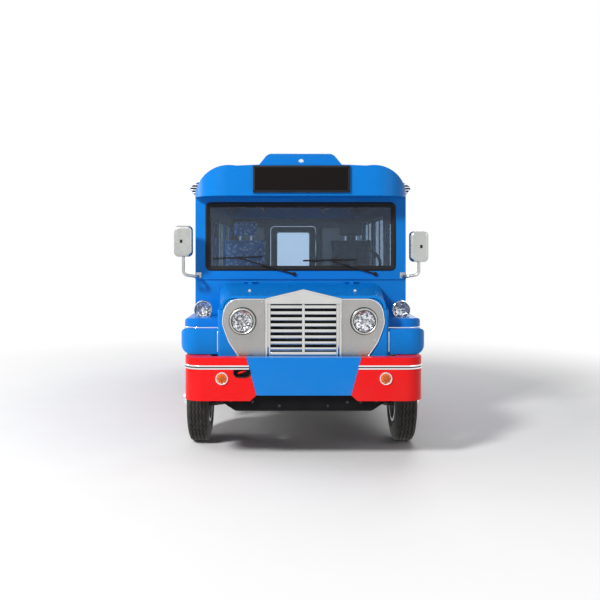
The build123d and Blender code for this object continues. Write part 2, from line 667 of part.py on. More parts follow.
nose -= block((-GRILLE_X, GRILLE_X), (NOSE_Y - 1, NOSE_Y + 2 * NOSE_T), GRILLE_Z)
keep("nose", nose)

# Front fenders: a rounded lobe with a raised crown behind it, hollow over the wheel
FENDER_Y = FRONT_Y + 180.0
FENDER_X = 1040.0
FENDER_Z = (880.0, 1090.0)
CROWN_X = 1023.0
FENDER_TOP = 1169.0
CROWN_STEP = 115.0
FENDER_T = 26.0
root_x = HOOD_X[0]


def fender_block(out, low, high, front, corner, low_r, high_r):
    """Half section from the nose outwards, rounded in section and in plan."""
    section = [(root_x, low, 0), (out, low, low_r), (out, high, high_r), (root_x, high, 0)]
    plan = [(root_x, front, 0), (out, front, corner), (out, COWL_Y, 0), (root_x, COWL_Y, 0)]
    return prism("y", section, front, COWL_Y) & prism("z", plan, low, high)


low_z, mid_z = FENDER_Z
fender = fender_block(FENDER_X, low_z, mid_z, FENDER_Y, 150, 92, 55)
fender += fender_block(CROWN_X, mid_z - 80, FENDER_TOP, FENDER_Y + CROWN_STEP, 140, 0, 42)
inner_y = FENDER_Y + FENDER_T
fender -= fender_block(FENDER_X - FENDER_T, low_z + FENDER_T, mid_z - FENDER_T,
                       inner_y, 150 - FENDER_T, 66, 29)
fender -= fender_block(CROWN_X - FENDER_T, low_z + FENDER_T + 60, FENDER_TOP - FENDER_T,
                       inner_y + CROWN_STEP, 114, 0, 16)
fender -= block((root_x, FENDER_X - 110), (inner_y + 40, COWL_Y), (low_z - 1, low_z + 2 * FENDER_T))
fender -= prism("z", nose_plan(0), 0, EAVE_Z)
keep("fenders", pair(fender))

# Grille: frame with a pitched top, two columns of slats
GRILLE_D = 40.0
GRILLE_OUT = 320.0
GRILLE_TOP = (1345.0, 1421.0)
SLATS = 8
SLAT_H = 24.0
DIVIDER = 30.0
grille_y = (NOSE_Y - GRILLE_D, NOSE_Y)
grille = prism("y", [(-GRILLE_OUT, NOSE_LOW, 0), (GRILLE_OUT, NOSE_LOW, 0), (GRILLE_OUT, GRILLE_TOP[0], 0),
                     (0, GRILLE_TOP[1], 0), (-GRILLE_OUT, GRILLE_TOP[0], 0)], *grille_y)
grille -= block((-GRILLE_X, GRILLE_X), grille_y, GRILLE_Z)
pitch = (GRILLE_Z[1] - GRILLE_Z[0]) / SLATS
for i in range(SLATS):
    z = GRILLE_Z[0] + pitch * (i + 0.5)
    grille += block((-GRILLE_X, GRILLE_X), (grille_y[0] + 8, grille_y[1] - 8),
                    (z - SLAT_H / 2, z + SLAT_H / 2))
grille += block((-DIVIDER / 2, DIVIDER / 2), grille_y, GRILLE_Z)
keep("grille", grille)

# Bright plates beside the grille, with the headlamps on them
PLATE_T = 6.0
LAMP_X = 507.0
LAMP_Z = 1161.0
BEZEL_R = 110.0
LENS_R = 89.0
BEZEL_D = 44.0
# Outer edge of a plate from its foot to its top: x, z and corner radius
PLATE_EDGE = ((545.0, NOSE_LOW, 15.0), (622.0, 985.0, 200.0),
              (678.0, 1140.0, 140.0), (652.0, PANEL_TOP, 130.0))
plate = prism("y", [(GRILLE_OUT, NOSE_LOW, 0), *PLATE_EDGE, (GRILLE_OUT, PANEL_TOP, 0)],
              NOSE_Y - PLATE_T, NOSE_Y)
keep("headlamp_plates", pair(plate))


def round_lamp(at, face, bezel, lens, depth, bulge):
    """Lamp that faces forwards from y = face: a bezel ring around a domed lens, as one solid."""
    shape = rod("y", at, bezel, face - depth, face) - rod("y", at, lens, face - depth, face - depth / 2)
    ball = (lens ** 2 + bulge ** 2) / (2 * bulge)
    dome = Pos(at[0], face - depth / 2 - bulge + ball, at[1]) * Sphere(ball)
    return shape + (dome & rod("y", at, lens, face - 2 * depth, face - depth / 4))


keep("headlamps", pair(round_lamp((LAMP_X, LAMP_Z), NOSE_Y - PLATE_T, BEZEL_R, LENS_R, BEZEL_D, 26)))

# Front bumper: one wrapped section, split into a centre and two corners along slanted seams
BUMPER_X = 984.0
BUMPER_WRAP = 380.0
BUMPER_R = 150.0
BUMPER_T = 40.0
BUMPER_Z = (520.0, 874.0)
CENTRE_LOW = 566.0
SEAM_X = (470.0, 387.0, 440.0)
FLANGE_T = 24.0
SEAM = 1.5


def bumper_plan(inset):
    return [(-BUMPER_X + inset, FRONT_Y + BUMPER_WRAP, 0),
            (-BUMPER_X + inset, FRONT_Y + inset, BUMPER_R - inset),
            (BUMPER_X - inset, FRONT_Y + inset, BUMPER_R - inset),
            (BUMPER_X - inset, FRONT_Y + BUMPER_WRAP, 0)]


bumper = prism("z", bumper_plan(0), *BUMPER_Z) - prism("z", bumper_plan(BUMPER_T), 0, BUMPER_Z[1] - FLANGE_T)
bumper -= block((-BUMPER_X + 200, BUMPER_X - 200), (grille_y[0] - 5, 0), (0, EAVE_Z))
bumper -= block((-BUMPER_X + BUMPER_T, BUMPER_X - BUMPER_T), (FRONT_Y + 300, 0), (0, EAVE_Z))
bumper -= through("y", Pos(-505, 754) * SlotOverall(130, 72), FRONT_Y - 1, FRONT_Y + BUMPER_T + 1)
top, corner, toe = SEAM_X
centre_cut = [(-top, BUMPER_Z[1] + 1, 0), (-corner, CENTRE_LOW, 0),
              (corner, CENTRE_LOW, 0), (top, BUMPER_Z[1] + 1, 0)]
keep("bumper_centre", bumper & prism("y", centre_cut, FRONT_Y - 1, 0))
corner_cut = [(-top - SEAM, BUMPER_Z[1] + 1, 0), (-corner - SEAM, CENTRE_LOW, 0), (-toe, BUMPER_Z[0] - 1, 0),
              (toe, BUMPER_Z[0] - 1, 0), (corner + SEAM, CENTRE_LOW, 0), (top + SEAM, BUMPER_Z[1] + 1, 0)]
keep("bumper_corners", bumper - prism("y", corner_cut, FRONT_Y - 1, 0))

# Beam that carries the bumper, and the skid plate under it
BEAM_Z = (600.0, 690.0)
beam_y = (FRONT_Y + BUMPER_T, FRONT_Y + 90.0)
frame_pieces.append(block((-BUMPER_X + BUMPER_R, BUMPER_X - BUMPER_R), beam_y, BEAM_Z))
frame_pieces += [block((sign * RAIL_X, sign * RAIL_OUT), (beam_y[1], rail_y[0]), BEAM_Z) for sign in (-1, 1)]
keep("frame", *frame_pieces)
VALANCE_X = (560.0, 700.0)
VALANCE_LOW = 434.0
valance = [(-VALANCE_X[0], VALANCE_LOW, 60), (VALANCE_X[0], VALANCE_LOW, 60),
           (VALANCE_X[1], CENTRE_LOW - 40, 60),
           (VALANCE_X[1], BEAM_Z[0], 0), (-VALANCE_X[1], BEAM_Z[0], 0), (-VALANCE_X[1], CENTRE_LOW - 40, 60)]
keep("front_valance", prism("y", valance, beam_y[0] + 20, beam_y[0] + 32))

# Rear bumper on the back wall; it stands out as far as the lamps on the front bumper do
SIGNAL_D = 10.0
SIGNAL_DOME = 12.0
rear_end = REAR_Y + SIGNAL_D / 2 + SIGNAL_DOME
REAR_BUMPER_X = 930.0
REAR_BUMPER_Z = (560.0, 730.0)
keep("rear_bumper", prism("z", [(-REAR_BUMPER_X, BACK_Y, 0),
                                (REAR_BUMPER_X, BACK_Y, 0), (REAR_BUMPER_X, rear_end, 60),
                                (-REAR_BUMPER_X, rear_end, 60)], *REAR_BUMPER_Z))

# Doors: panels with a window, hung on outside barrels just ahead of their front edges
DOOR_T = 40.0
GLASS_T = 6.0
GLASS_SET = 14.0
STILE = 75.0
HINGE_RISE = 170.0
door_x = (SIDE_X - DOOR_T, SIDE_X)
pane_x = (SIDE_X - GLASS_SET - GLASS_T, SIDE_X - GLASS_SET)


def side_door(front, rear, low, pane_low, stile, radius):
    """Door leaf on the +X side between two stations, and the pane in it."""
    pane = window((front + stile, rear - stile), (pane_low, HEAD_Z - stile), PANE_R)
    leaf = window((front, rear), (low + PANEL_GAP, HEAD_Z - PANEL_GAP), radius)
    return through("x", leaf - pane, *door_x), through("x", pane, *pane_x)


def hang(fixed_to, leaf, axis_y, heights, outside=True):
    """Adds outside (or inside) barrels with their leaves to a fixed panel ahead and a leaf behind."""
    sign, skin = (1, SIDE_X) if outside else (-1, SIDE_X - DOOR_T)
    at = (skin + sign * AXIS_OUT, axis_y)
    leaf_x = (skin, skin + sign * LEAF_T)
    for height in heights:
        fixed, moving = hinge("z", at, height)
        ends, span = thirds(height)
        fixed_to += fixed
        for end in ends:
            fixed_to += block(leaf_x, (axis_y - LEAF_L, axis_y - PIN_R), end)
        leaf += moving + block(leaf_x, (axis_y + PIN_R + 1, axis_y + LEAF_L), span)
    return fixed_to, leaf


half_gap = PANEL_GAP / 2
high_hinge = SILL_Z + HINGE_RISE / 2 - 200
driver_door, driver_pane = side_door(FRONT_DOOR_Y + PANEL_GAP, door_end - PANEL_GAP, FLOOR_Z, SILL_Z, STILE,
                                     DOOR_R - PANEL_GAP)
walls["left"], driver_door = hang(walls["left"], driver_door, FRONT_DOOR_Y + half_gap,
                                  (FLOOR_Z + HINGE_RISE, high_hinge))
keep("driver_door", driver_door)
keep("driver_door_glass", driver_pane)

# Entry door: two leaves, the front one on the body and the rear one on the front leaf
ENTRY_REAR_GAP = 16.0
ENTRY_PANE_Z = 800.0
LEAF_STILE = 60.0
entry_mid = (ENTRY_DOOR_Y + entry_end) / 2
(leaf_a, pane_a), (leaf_b, pane_b) = [
    side_door(*span, ENTRY_SILL_Z, ENTRY_PANE_Z, LEAF_STILE, 0)
    for span in ((ENTRY_DOOR_Y + PANEL_GAP, entry_mid - half_gap),
                 (entry_mid + half_gap, entry_end - ENTRY_REAR_GAP))]
entry_heights = (FLOOR_Z + HINGE_RISE, HEAD_Z - HINGE_RISE)
walls["right"], leaf_a = hang(walls["right"], leaf_a, ENTRY_DOOR_Y + half_gap, entry_heights)
leaf_a, leaf_b = hang(leaf_a, leaf_b, entry_mid, entry_heights, outside=False)
for name, shape in (("entry_leaf_front", leaf_a), ("entry_leaf_front_glass", pane_a),
                    ("entry_leaf_rear", leaf_b), ("entry_leaf_rear_glass", pane_b)):
    keep(name, flip(shape))
keep("side_wall_left", *panels("left"))
keep("side_wall_right", *[flip(panel) for panel in panels("right")])

# Rear emergency door, hung on the driver's side
rear_x = REAR_DOOR_X - PANEL_GAP
rear_pane = window((-rear_x + STILE, rear_x - STILE), (SILL_Z, HEAD_Z - STILE), PANE_R)
rear_leaf = window((-rear_x, rear_x), (FLOOR_Z + PANEL_GAP, HEAD_Z - PANEL_GAP), DOOR_R - PANEL_GAP)
rear_door = through("y", rear_leaf - rear_pane, BACK_Y - DOOR_T, BACK_Y)
rear_axis = (REAR_DOOR_X - half_gap, BACK_Y + AXIS_OUT)
leaf_y = (BACK_Y, BACK_Y + LEAF_T)
for height in (FLOOR_Z + HINGE_RISE, SILL_Z + HINGE_RISE, HEAD_Z - HINGE_RISE):
    fixed, moving = hinge("z", rear_axis, height)
    ends, span = thirds(height)
    rear_wall += fixed
    for end in ends:
        rear_wall += block((rear_axis[0] + PIN_R, rear_axis[0] + LEAF_L), leaf_y, end)
    rear_door += moving + block((rear_axis[0] - LEAF_L, rear_axis[0] - PIN_R - 1), leaf_y, span)
keep("rear_wall", rear_wall)
keep("rear_door", rear_door)
keep("rear_door_glass", through("y", rear_pane, BACK_Y - GLASS_SET - GLASS_T, BACK_Y - GLASS_SET))

# Fixed glass
SCREEN_T = 8.0
screen = window((-screen_x, screen_x), SCREEN_Z, SCREEN_R)
keep("windscreen", through("y", screen, COWL_Y, COWL_Y + SCREEN_T))
panes = []
for side, turn in (("left", lambda shape: shape), ("right", flip)):
    panes += [turn(through("x", window(bay, (SILL_Z, HEAD_Z), PANE_R), *pane_x)) for bay in bays[side]]
for sign in (-1, 1):
    pane = window(sorted(sign * x for x in REAR_PANE_X), (SILL_Z, HEAD_Z), PANE_R)
    panes.append(through("y", pane, BACK_Y - GLASS_SET - GLASS_T, BACK_Y - GLASS_SET))
keep("side_glass", *panes)

# Lamps: turn signals in the bumper corners, chrome lamps on the fenders, tail lamps
SIGNAL_AT = (670.0, 704.0)
SIGNAL_R = 53.5
keep("turn_signals", pair(round_lamp(SIGNAL_AT, FRONT_Y, SIGNAL_R, 40.0, SIGNAL_D, SIGNAL_DOME)))
POST_LAMP_AT = (CROWN_X - 150.0, 1226.0)
POST_LAMP_R = 83.5
POST_LAMP_Y = FRONT_Y + 560.0
POST_LAMP_D = 120.0
post_lamp = round_lamp(POST_LAMP_AT, POST_LAMP_Y, POST_LAMP_R, 70.0, 60.0, 20.0)
post_lamp += Pos(POST_LAMP_AT[0], POST_LAMP_Y, POST_LAMP_AT[1]) * Sphere(POST_LAMP_R - 1) & block(
    (0, FENDER_X), (POST_LAMP_Y - 1, POST_LAMP_Y + POST_LAMP_D), (FENDER_TOP, SILL_Z))
post_lamp += rod("z", (POST_LAMP_AT[0], POST_LAMP_Y + 20), 30, FENDER_TOP, POST_LAMP_AT[1])
post_lamp -= block((0, FENDER_X), (FRONT_Y, 0), (0, FENDER_TOP))
keep("fender_lamps", pair(post_lamp))
TAIL_X = (780.0, 900.0)
TAIL_Z = (840.0, 1120.0)
TAIL_D = 34.0
keep("tail_lamps", pair(through("y", window(TAIL_X, TAIL_Z, 24), BACK_Y, BACK_Y + TAIL_D)))

# Mirrors: a housing on a bent tube from a foot on the front wall; bottom of each housing by side
MIRROR_X = (SIDE_X + 5.0, SIDE_X + 177.0)
MIRROR_H = 291.0
MIRROR_D = 84.0
RIGHT_MIRROR_LOW = 1690.0
LEFT_MIRROR_LOW = 1641.0
MIRROR_SET = 900.0
TUBE_R = 14.0
FOOT_X = SIDE_X - 34.0
FOOT_Z = 1524.0
mirror_y = FRONT_Y + MIRROR_SET
mirrors = []
for sign, low in ((-1, RIGHT_MIRROR_LOW), (1, LEFT_MIRROR_LOW)):
    shell = through("y", window(MIRROR_X, (low, low + MIRROR_H), 45),
                    mirror_y - MIRROR_D / 2, mirror_y + MIRROR_D / 2)
    shell = fillet(shell.faces().sort_by(Axis.Y)[0].edges(), 30)
    tube_x = sum(MIRROR_X) / 2
    shell += bent_tube([(tube_x, mirror_y, low + 20), (tube_x, mirror_y, FOOT_Z),
                        (FOOT_X, mirror_y + 30, FOOT_Z - 20),
                        (FOOT_X, COWL_Y - 10, FOOT_Z - 20)], TUBE_R, 45)
    shell += block((FOOT_X - 24, FOOT_X + 24), (COWL_Y - 14, COWL_Y), (LEDGE_Z + LEDGE, FOOT_Z + 16))
    mirrors.append(shell if sign > 0 else flip(shell))
keep("mirrors", *mirrors)

# Wipers: pivot, arm and blade on the windscreen; (pivot x, blade ends as (x, z))
WIPER_PIVOT_Z = 1526.0
WIPER_OUT = 26.0
WIPERS = ((-63.0, (-838.0, 1672.0), (-369.0, 1690.0)), (712.0, (23.0, 1652.0), (530.0, 1664.0)))


def flat_bar(start, end, width, low, high):
    """Flat bar between two (x, z) points, from y = low to y = high."""
    (x0, z0), (x1, z1) = start, end
    reach = math.hypot(x1 - x0, z1 - z0)
    u, v = (z0 - z1) / reach * width / 2, (x1 - x0) / reach * width / 2
    return prism("y", [(x0 - u, z0 - v, 0), (x1 - u, z1 - v, 0),
                       (x1 + u, z1 + v, 0), (x0 + u, z0 + v, 0)], low, high)


wipers = []
for pivot, left, right in WIPERS:
    middle = ((left[0] + right[0]) / 2, (left[1] + right[1]) / 2)
    shape = rod("y", (pivot, WIPER_PIVOT_Z), 20, COWL_Y - WIPER_OUT, COWL_Y)
    shape += flat_bar((pivot, WIPER_PIVOT_Z), middle, 14, COWL_Y - WIPER_OUT, COWL_Y - WIPER_OUT + 10)
    wipers.append(shape + flat_bar(left, right, 18, COWL_Y - WIPER_OUT, COWL_Y - 1))
keep("wipers", *wipers)

# Blank display on the brow
SIGN_X = 445.0
SIGN_Z = (ROOF_SIDE_Z - 8.0, ROOF_SIDE_Z + 238.0)
SIGN_T = 22.0
keep("destination_sign", block((-SIGN_X, SIGN_X), (BROW_Y - SIGN_T, BROW_Y), SIGN_Z))

# Dashboard with the steering column's shroud, and the steering wheel on its shaft
DASH_D = 290.0
DASH_Z = (1130.0, 1440.0)
SEAT_SET = 385.0
WHEEL_SET = 400.0
WHEEL_Z = 1598.0
WHEEL_R = 235.0
GRIP_R = 15.0
COLUMN_TILT = 40.0
SHAFT_BORE_R = 16.0
SHROUD_R = 40.0
seat_x = INNER_X - SEAT_SET
wheel_at = Vector(seat_x, COWL_Y + WHEEL_SET, WHEEL_Z)
tilt = math.radians(COLUMN_TILT)
down = Vector(0, -math.cos(tilt), -math.sin(tilt))
across = Vector(0, math.sin(tilt), -math.cos(tilt))


def along_column(near, far, radius):
    """Round bar on the steering axis between two distances from the wheel's centre."""
    return bar((wheel_at + down * near), (wheel_at + down * far), radius)


dash = prism("x", [(CABIN_FRONT_Y, DASH_Z[0], 0), (CABIN_FRONT_Y + DASH_D - 90, DASH_Z[0], 0),
                   (CABIN_FRONT_Y + DASH_D, DASH_Z[0] + 120, 40),
                   (CABIN_FRONT_Y + DASH_D - 40, DASH_Z[1], 50),
                   (CABIN_FRONT_Y, DASH_Z[1], 0)], -INNER_X, INNER_X)
dash += along_column(90, 330, SHROUD_R)
dash -= along_column(80, 320, SHAFT_BORE_R + RUNNING)
keep("dashboard", dash)
steering = Plane(origin=wheel_at, z_dir=down) * Torus(WHEEL_R, GRIP_R)
steering += along_column(-10, 60, 52) + along_column(50, 300, SHAFT_BORE_R)
for angle in (90, 210, 330):
    turn = math.radians(angle)
    spoke = Vector(1, 0, 0) * math.cos(turn) - across * math.sin(turn)
    steering += bar((wheel_at + down * 20), (wheel_at + spoke * WHEEL_R), 11)
keep("steering_wheel", steering)

# Front seats: pedestal, cushion, back and headrest
SEAT_W = 480.0
SEAT_FRONT_SET = 645.0
SEAT_BACK_SET = 1130.0
SEAT_Y = (COWL_Y + SEAT_FRONT_SET, COWL_Y + SEAT_BACK_SET)
CUSHION_Z = (1235.0, 1350.0)
BACK_TOP = 1880.0
HEADREST_Z = (1905.0, 2065.0)
BACK_T = 120.0


def front_seat(x):
    half = SEAT_W / 2
    back_y = SEAT_Y[1]
    seat = block((x - half + 60, x + half - 60), (SEAT_Y[0] + 80, SEAT_Y[1] - 60), (FLOOR_Z, CUSHION_Z[0]))
    seat += prism("z", [(x - half, SEAT_Y[0], 60), (x + half, SEAT_Y[0], 60), (x + half, back_y, 0),
                        (x - half, back_y, 0)], *CUSHION_Z)
    seat += through("y", window((x - half, x + half), (CUSHION_Z[0], BACK_TOP), 60), back_y - BACK_T, back_y)
    seat += through("y", window((x - 130, x + 130), HEADREST_Z, 50), back_y - 100, back_y - 10)
    for post in (-60, 60):
        seat += rod("z", (x + post, back_y - 55), 9, BACK_TOP - 40, HEADREST_Z[0] + 20)
    return seat


keep("front_seats", front_seat(seat_x), front_seat(-seat_x))

# Benches along both sides: face panel, cushion and back pad
BENCH_D = 430.0
BENCH_Z = (1290.0, 1375.0)
PAD_T = 70.0
bench_end = CABIN_BACK_Y - 40
benches = []
for sign, start in ((1, door_end + 220), (-1, entry_end + 140)):
    span = (start, bench_end)
    inner = sign * (INNER_X - BENCH_D)
    bench = block((inner, sign * INNER_X), span, BENCH_Z)
    bench += block((inner + sign * 50, inner + sign * 75), span, (FLOOR_Z, BENCH_Z[0]))
    bench += block((sign * (INNER_X - PAD_T), sign * INNER_X), span, (BENCH_Z[0], SILL_Z - 10))
    benches.append(bench)
keep("benches", *benches)

# Overhead grab rails hung from the roof
GRAB_X = 450.0
GRAB_DROP = 215.0
GRAB_Z = CROWN_Z - GRAB_DROP
GRAB_R = 16.0
grab_y = (door_end + 100, CABIN_BACK_Y - 150)
rail = rod("y", (GRAB_X, GRAB_Z), GRAB_R, *grab_y)
for i in range(4):
    y = grab_y[0] + 60 + i * (grab_y[1] - grab_y[0] - 120) / 3
    rail += rod("z", (GRAB_X, y), GRAB_R - 4, GRAB_Z, CROWN_Z - ROOF_LIP)
keep("grab_rails", pair(rail - parts["roof"][0]))

os.makedirs("parts", exist_ok=True)
for name, solids in parts.items():
    export_step(Compound(children=solids) if len(solids) > 1 else solids[0], f"parts/{name}.step")
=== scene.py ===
"""City bus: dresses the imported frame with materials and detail, in metres."""

import json
from math import atan2, copysign, cos, hypot, pi, radians, sin, sqrt, tan

import bmesh
import bpy
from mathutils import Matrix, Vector


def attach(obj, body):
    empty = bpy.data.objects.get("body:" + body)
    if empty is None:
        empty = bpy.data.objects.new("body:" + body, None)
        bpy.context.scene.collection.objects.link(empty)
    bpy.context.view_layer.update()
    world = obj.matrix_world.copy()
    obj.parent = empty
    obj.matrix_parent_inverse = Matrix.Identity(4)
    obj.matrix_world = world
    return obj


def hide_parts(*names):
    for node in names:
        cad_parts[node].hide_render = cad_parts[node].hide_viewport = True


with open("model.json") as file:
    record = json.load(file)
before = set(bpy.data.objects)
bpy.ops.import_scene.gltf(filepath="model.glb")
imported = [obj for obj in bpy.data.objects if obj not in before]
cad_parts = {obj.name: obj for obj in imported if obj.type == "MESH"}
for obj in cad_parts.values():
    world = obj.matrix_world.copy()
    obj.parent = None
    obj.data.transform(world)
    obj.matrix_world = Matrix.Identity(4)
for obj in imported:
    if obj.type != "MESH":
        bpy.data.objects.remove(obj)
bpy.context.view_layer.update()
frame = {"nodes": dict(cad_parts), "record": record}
nodes = frame["nodes"]
scene = bpy.context.scene

# Stations of the model, as in the part's source
FRONT_Y, BACK_Y, COWL_Y, NOSE_Y, BROW_Y = -3.075, 2.99, -1.975, -2.925, -2.275
FRONT_AXLE_Y, REAR_AXLE_Y, AXLE_Z = -2.195, 1.205, 0.388
SIDE_X, EAVE_Z, FLOOR_Z, LINE_Z = 1.006, 2.254, 0.88, 0.795
SILL_Z, HEAD_Z, DOOR_HEAD_Z = 1.44, 2.13, 2.055
FORWARD, UP = (0, -1, 0), (0, 0, 1)

# Camera: fitted to the photograph, level, looking along +Y
FRAME_PX, FOCAL_PX, DROP_PX, SENSOR = 600, 784, 50, 36
camera = bpy.data.objects.new("camera", bpy.data.cameras.new("camera"))
camera.location = (-0.178, FRONT_Y - 6.4, 1.754)
camera.rotation_euler = (radians(90), 0, 0)
camera.data.sensor_width = SENSOR
camera.data.lens = FOCAL_PX / FRAME_PX * SENSOR
camera.data.shift_x = 0.03
camera.data.shift_y = -DROP_PX / FRAME_PX
camera.data.clip_end = 200
scene.collection.objects.link(camera)
scene.camera = camera
scene.view_settings.view_transform = "Standard"


# Materials
class Graph:
    """Node tree of a material or the world, with short calls for the nodes used here."""

    def __init__(self, owner):
        self.owner = owner
        owner.use_nodes = True
        self.nodes = owner.node_tree.nodes
        self.links = owner.node_tree.links
        self.shader = self.nodes.get("Principled BSDF") or self.nodes["Background"]
        coordinates = self.add("ShaderNodeTexCoord")
        self.place = coordinates.outputs["Object"]
        self.facing = coordinates.outputs["Normal"]

    def add(self, kind, **settings):
        node = self.nodes.new(kind)
        for key, value in settings.items():
            setattr(node, key, value)
        return node

    def feed(self, socket, value):
        """Links a socket to another one, or sets it."""
        if isinstance(value, bpy.types.NodeSocket):
            self.links.new(value, socket)
        else:
            socket.default_value = value

    def set(self, node, **values):
        for key, value in values.items():
            self.feed(node.inputs[key.replace("_", " ")], value)
        return node

    def base(self):
        """What colours the surface so far."""
        return self.shader.inputs["Base Color"].links[0].from_socket

    def noise(self, scale, detail=3.0, stretch=None):
        source = self.place
        if stretch:
            mapping = self.set(self.add("ShaderNodeMapping"), Vector=source, Scale=stretch)
            source = mapping.outputs["Vector"]
        node = self.set(self.add("ShaderNodeTexNoise"), Vector=source, Scale=scale, Detail=detail)
        return node.outputs["Fac"]

    def wave(self, direction, scale):
        node = self.add("ShaderNodeTexWave", bands_direction=direction)
        return self.set(node, Vector=self.place, Scale=scale).outputs["Fac"]

    def span(self, value, low, high, start=0.3, stop=0.7):
        node = self.add("ShaderNodeMapRange")
        self.set(node, Value=value, From_Min=start, From_Max=stop, To_Min=low, To_Max=high)
        return node.outputs["Result"]

    def mix(self, factor, first, second):
        node = self.add("ShaderNodeMix", data_type="RGBA")
        self.feed(node.inputs[0], factor)
        for index, value in ((6, first), (7, second)):
            linked = isinstance(value, bpy.types.NodeSocket)
            self.feed(node.inputs[index], value if linked else (*value, 1))
        return node.outputs[2]

    def axis(self, letter, source=None):
        node = self.add("ShaderNodeSeparateXYZ")
        self.feed(node.inputs[0], source or self.place)
        return node.outputs[letter]

    def math(self, operation, first, second=0.0):
        node = self.add("ShaderNodeMath", operation=operation)
        self.feed(node.inputs[0], first)
        self.feed(node.inputs[1], second)
        return node.outputs[0]

    def bump(self, height, strength, distance):
        node = self.set(self.add("ShaderNodeBump"), Height=height, Strength=strength, Distance=distance)
        self.feed(self.shader.inputs["Normal"], node.outputs["Normal"])

    def choose(self, factor, first, second, output):
        """Sends a mix of two shaders to an output node."""
        node = self.add("ShaderNodeMixShader")
        for index, source in enumerate((factor, first.outputs[0], second.outputs[0])):
            self.feed(node.inputs[index], source)
        self.feed(self.nodes[output].inputs["Surface"], node.outputs[0])


def tones(colour, spread):
    return [c * (1 - spread) for c in colour], [min(1, c * (1 + spread)) for c in colour]


def surface(name, colour, rough, spread=0.08, scale=3.0, grain=0.0, grain_scale=400.0, rough_spread=0.25,
            **sockets):
    """Base material: slow colour variation, uneven gloss and an optional fine grain."""
    g = Graph(bpy.data.materials.new(name))
    sockets.setdefault("Specular_IOR_Level", 0.2)
    g.set(g.shader, Base_Color=g.mix(g.span(g.noise(scale), 0, 1), *tones(colour, spread)), **sockets)
    (glossy,), (dull,) = tones([rough], rough_spread)
    g.set(g.shader, Roughness=g.span(g.noise(scale * 7, 5), glossy, dull))
    if grain:
        g.bump(g.noise(grain_scale, 2), grain, 0.001)
    return g


def paint(name, colour, band=None):
    """Gloss coach paint: faint orange peel, dust low down, an optional lower band, and a near-black lining
    indoors that is partly a real lining and partly painted shade of the cabin.
    """
    g = surface(name, colour, 0.3, 0.04, 0.9, 0.015, 260, 0.12, Coat_Weight=0.08, Coat_Roughness=0.05,
                Specular_IOR_Level=0.12)
    base = g.base()
    height = g.axis("Z")
    if band:
        base = g.mix(g.math("LESS_THAN", height, LINE_Z), base, band)
    dust = g.math("MULTIPLY", g.span(height, 0.07, 0.0, 0.45, 1.0), g.span(g.noise(5, 6), 0.2, 1))
    base = g.mix(dust, base, DUST)
    # Inside the shell, below the eaves and on faces turned down, the colour becomes a near-black lining:
    # partly a real lining, partly painted cabin shade.
    faces_down = g.math("LESS_THAN", g.axis("Z", g.facing), -0.1)
    lined_and_shaded = g.math("MAXIMUM", g.math("LESS_THAN", height, EAVE_Z), faces_down)
    for inside in (g.math("LESS_THAN", g.math("ABSOLUTE", g.axis("X")), SIDE_X - 0.031),
                   g.math("GREATER_THAN", g.axis("Y"), COWL_Y + 0.025),
                   g.math("LESS_THAN", g.axis("Y"), BACK_Y - 0.035)):
        lined_and_shaded = g.math("MULTIPLY", lined_and_shaded, inside)
    g.set(g.shader, Base_Color=g.mix(lined_and_shaded, base, LINING_AND_CABIN_SHADE))
    return g.owner


def metal(name, colour, rough, stretch=None, scale=60, strength=0.1):
    """Bright metal with fine brushed or rolled streaks."""
    g = surface(name, colour, rough, 0.06, 4, Metallic=1.0)
    g.bump(g.noise(scale, 4, stretch), strength, 0.0008)
    return g.owner


def tyre_rubber(name):
    g = surface(name, (0.022, 0.021, 0.02), 0.72, 0.25, 7, 0.25, 420, 0.15)
    dust = g.math("MULTIPLY", g.span(g.noise(16, 6), 0, 0.5), 0.5)
    g.set(g.shader, Base_Color=g.mix(dust, g.base(), (0.11, 0.1, 0.085)))
    return g.owner


def core(name):
    """Radiator core: fine upright fins."""
    g = surface(name, (0.05, 0.05, 0.052), 0.5, 0.2, 8, Metallic=0.7)
    g.bump(g.wave("X", 70.0), 0.7, 0.003)
    return g.owner


def painted_facet_reflections(name):
    """Bright lamp reflector whose base colour is painted in light and dark cells, a painted reflection
    standing for how a faceted one looks.
    """
    g = surface(name, (0.5, 0.5, 0.5), 0.1, Metallic=1.0)
    cells = g.set(g.add("ShaderNodeTexVoronoi"), Vector=g.place, Scale=75.0)
    # Light and dark cells painted into the base colour: painted reflections of the facets.
    shade = g.span(g.axis("X", cells.outputs["Color"]), 0.0, 1.0, 0.3, 0.8)
    g.set(g.shader, Base_Color=g.mix(shade, (0.05, 0.052, 0.056), (0.92, 0.93, 0.95)))
    g.bump(g.noise(90, 2), 0.35, 0.002)
    return g.owner


def cloth(name, colour, accent):
    """Woven seat cloth with an uneven printed fleck."""
    g = surface(name, colour, 0.9, 0.15, 12, Sheen_Weight=0.3, Sheen_Roughness=0.5)
    fleck = g.set(g.add("ShaderNodeTexVoronoi"), Vector=g.place, Scale=26.0)
    print_share = g.span(fleck.outputs["Distance"], 0.75, 0, 0.1, 0.45)
    g.set(g.shader, Base_Color=g.mix(print_share, g.base(), accent))
    g.bump(g.math("ADD", g.wave("X", 230.0), g.wave("Z", 230.0)), 0.4, 0.001)
    return g.owner


def glass(name, tint, see, film=None):
    """Thin tinted pane with faint waviness; a film can darken the rear wall's panes beside the door."""
    g = Graph(bpy.data.materials.new(name))
    g.set(g.shader, Base_Color=(*tint, 1), Roughness=0.03, IOR=1.3, Transmission_Weight=see)
    if film:
        behind = g.math("GREATER_THAN", g.axis("Y"), BACK_Y - 0.09)
        beside = g.math("GREATER_THAN", g.math("ABSOLUTE", g.axis("X")), 0.4)
        g.set(g.shader, Base_Color=g.mix(g.math("MULTIPLY", behind, beside), tint, film))
    g.bump(g.noise(1.6, 1), 0.02, 0.02)
    return g.owner


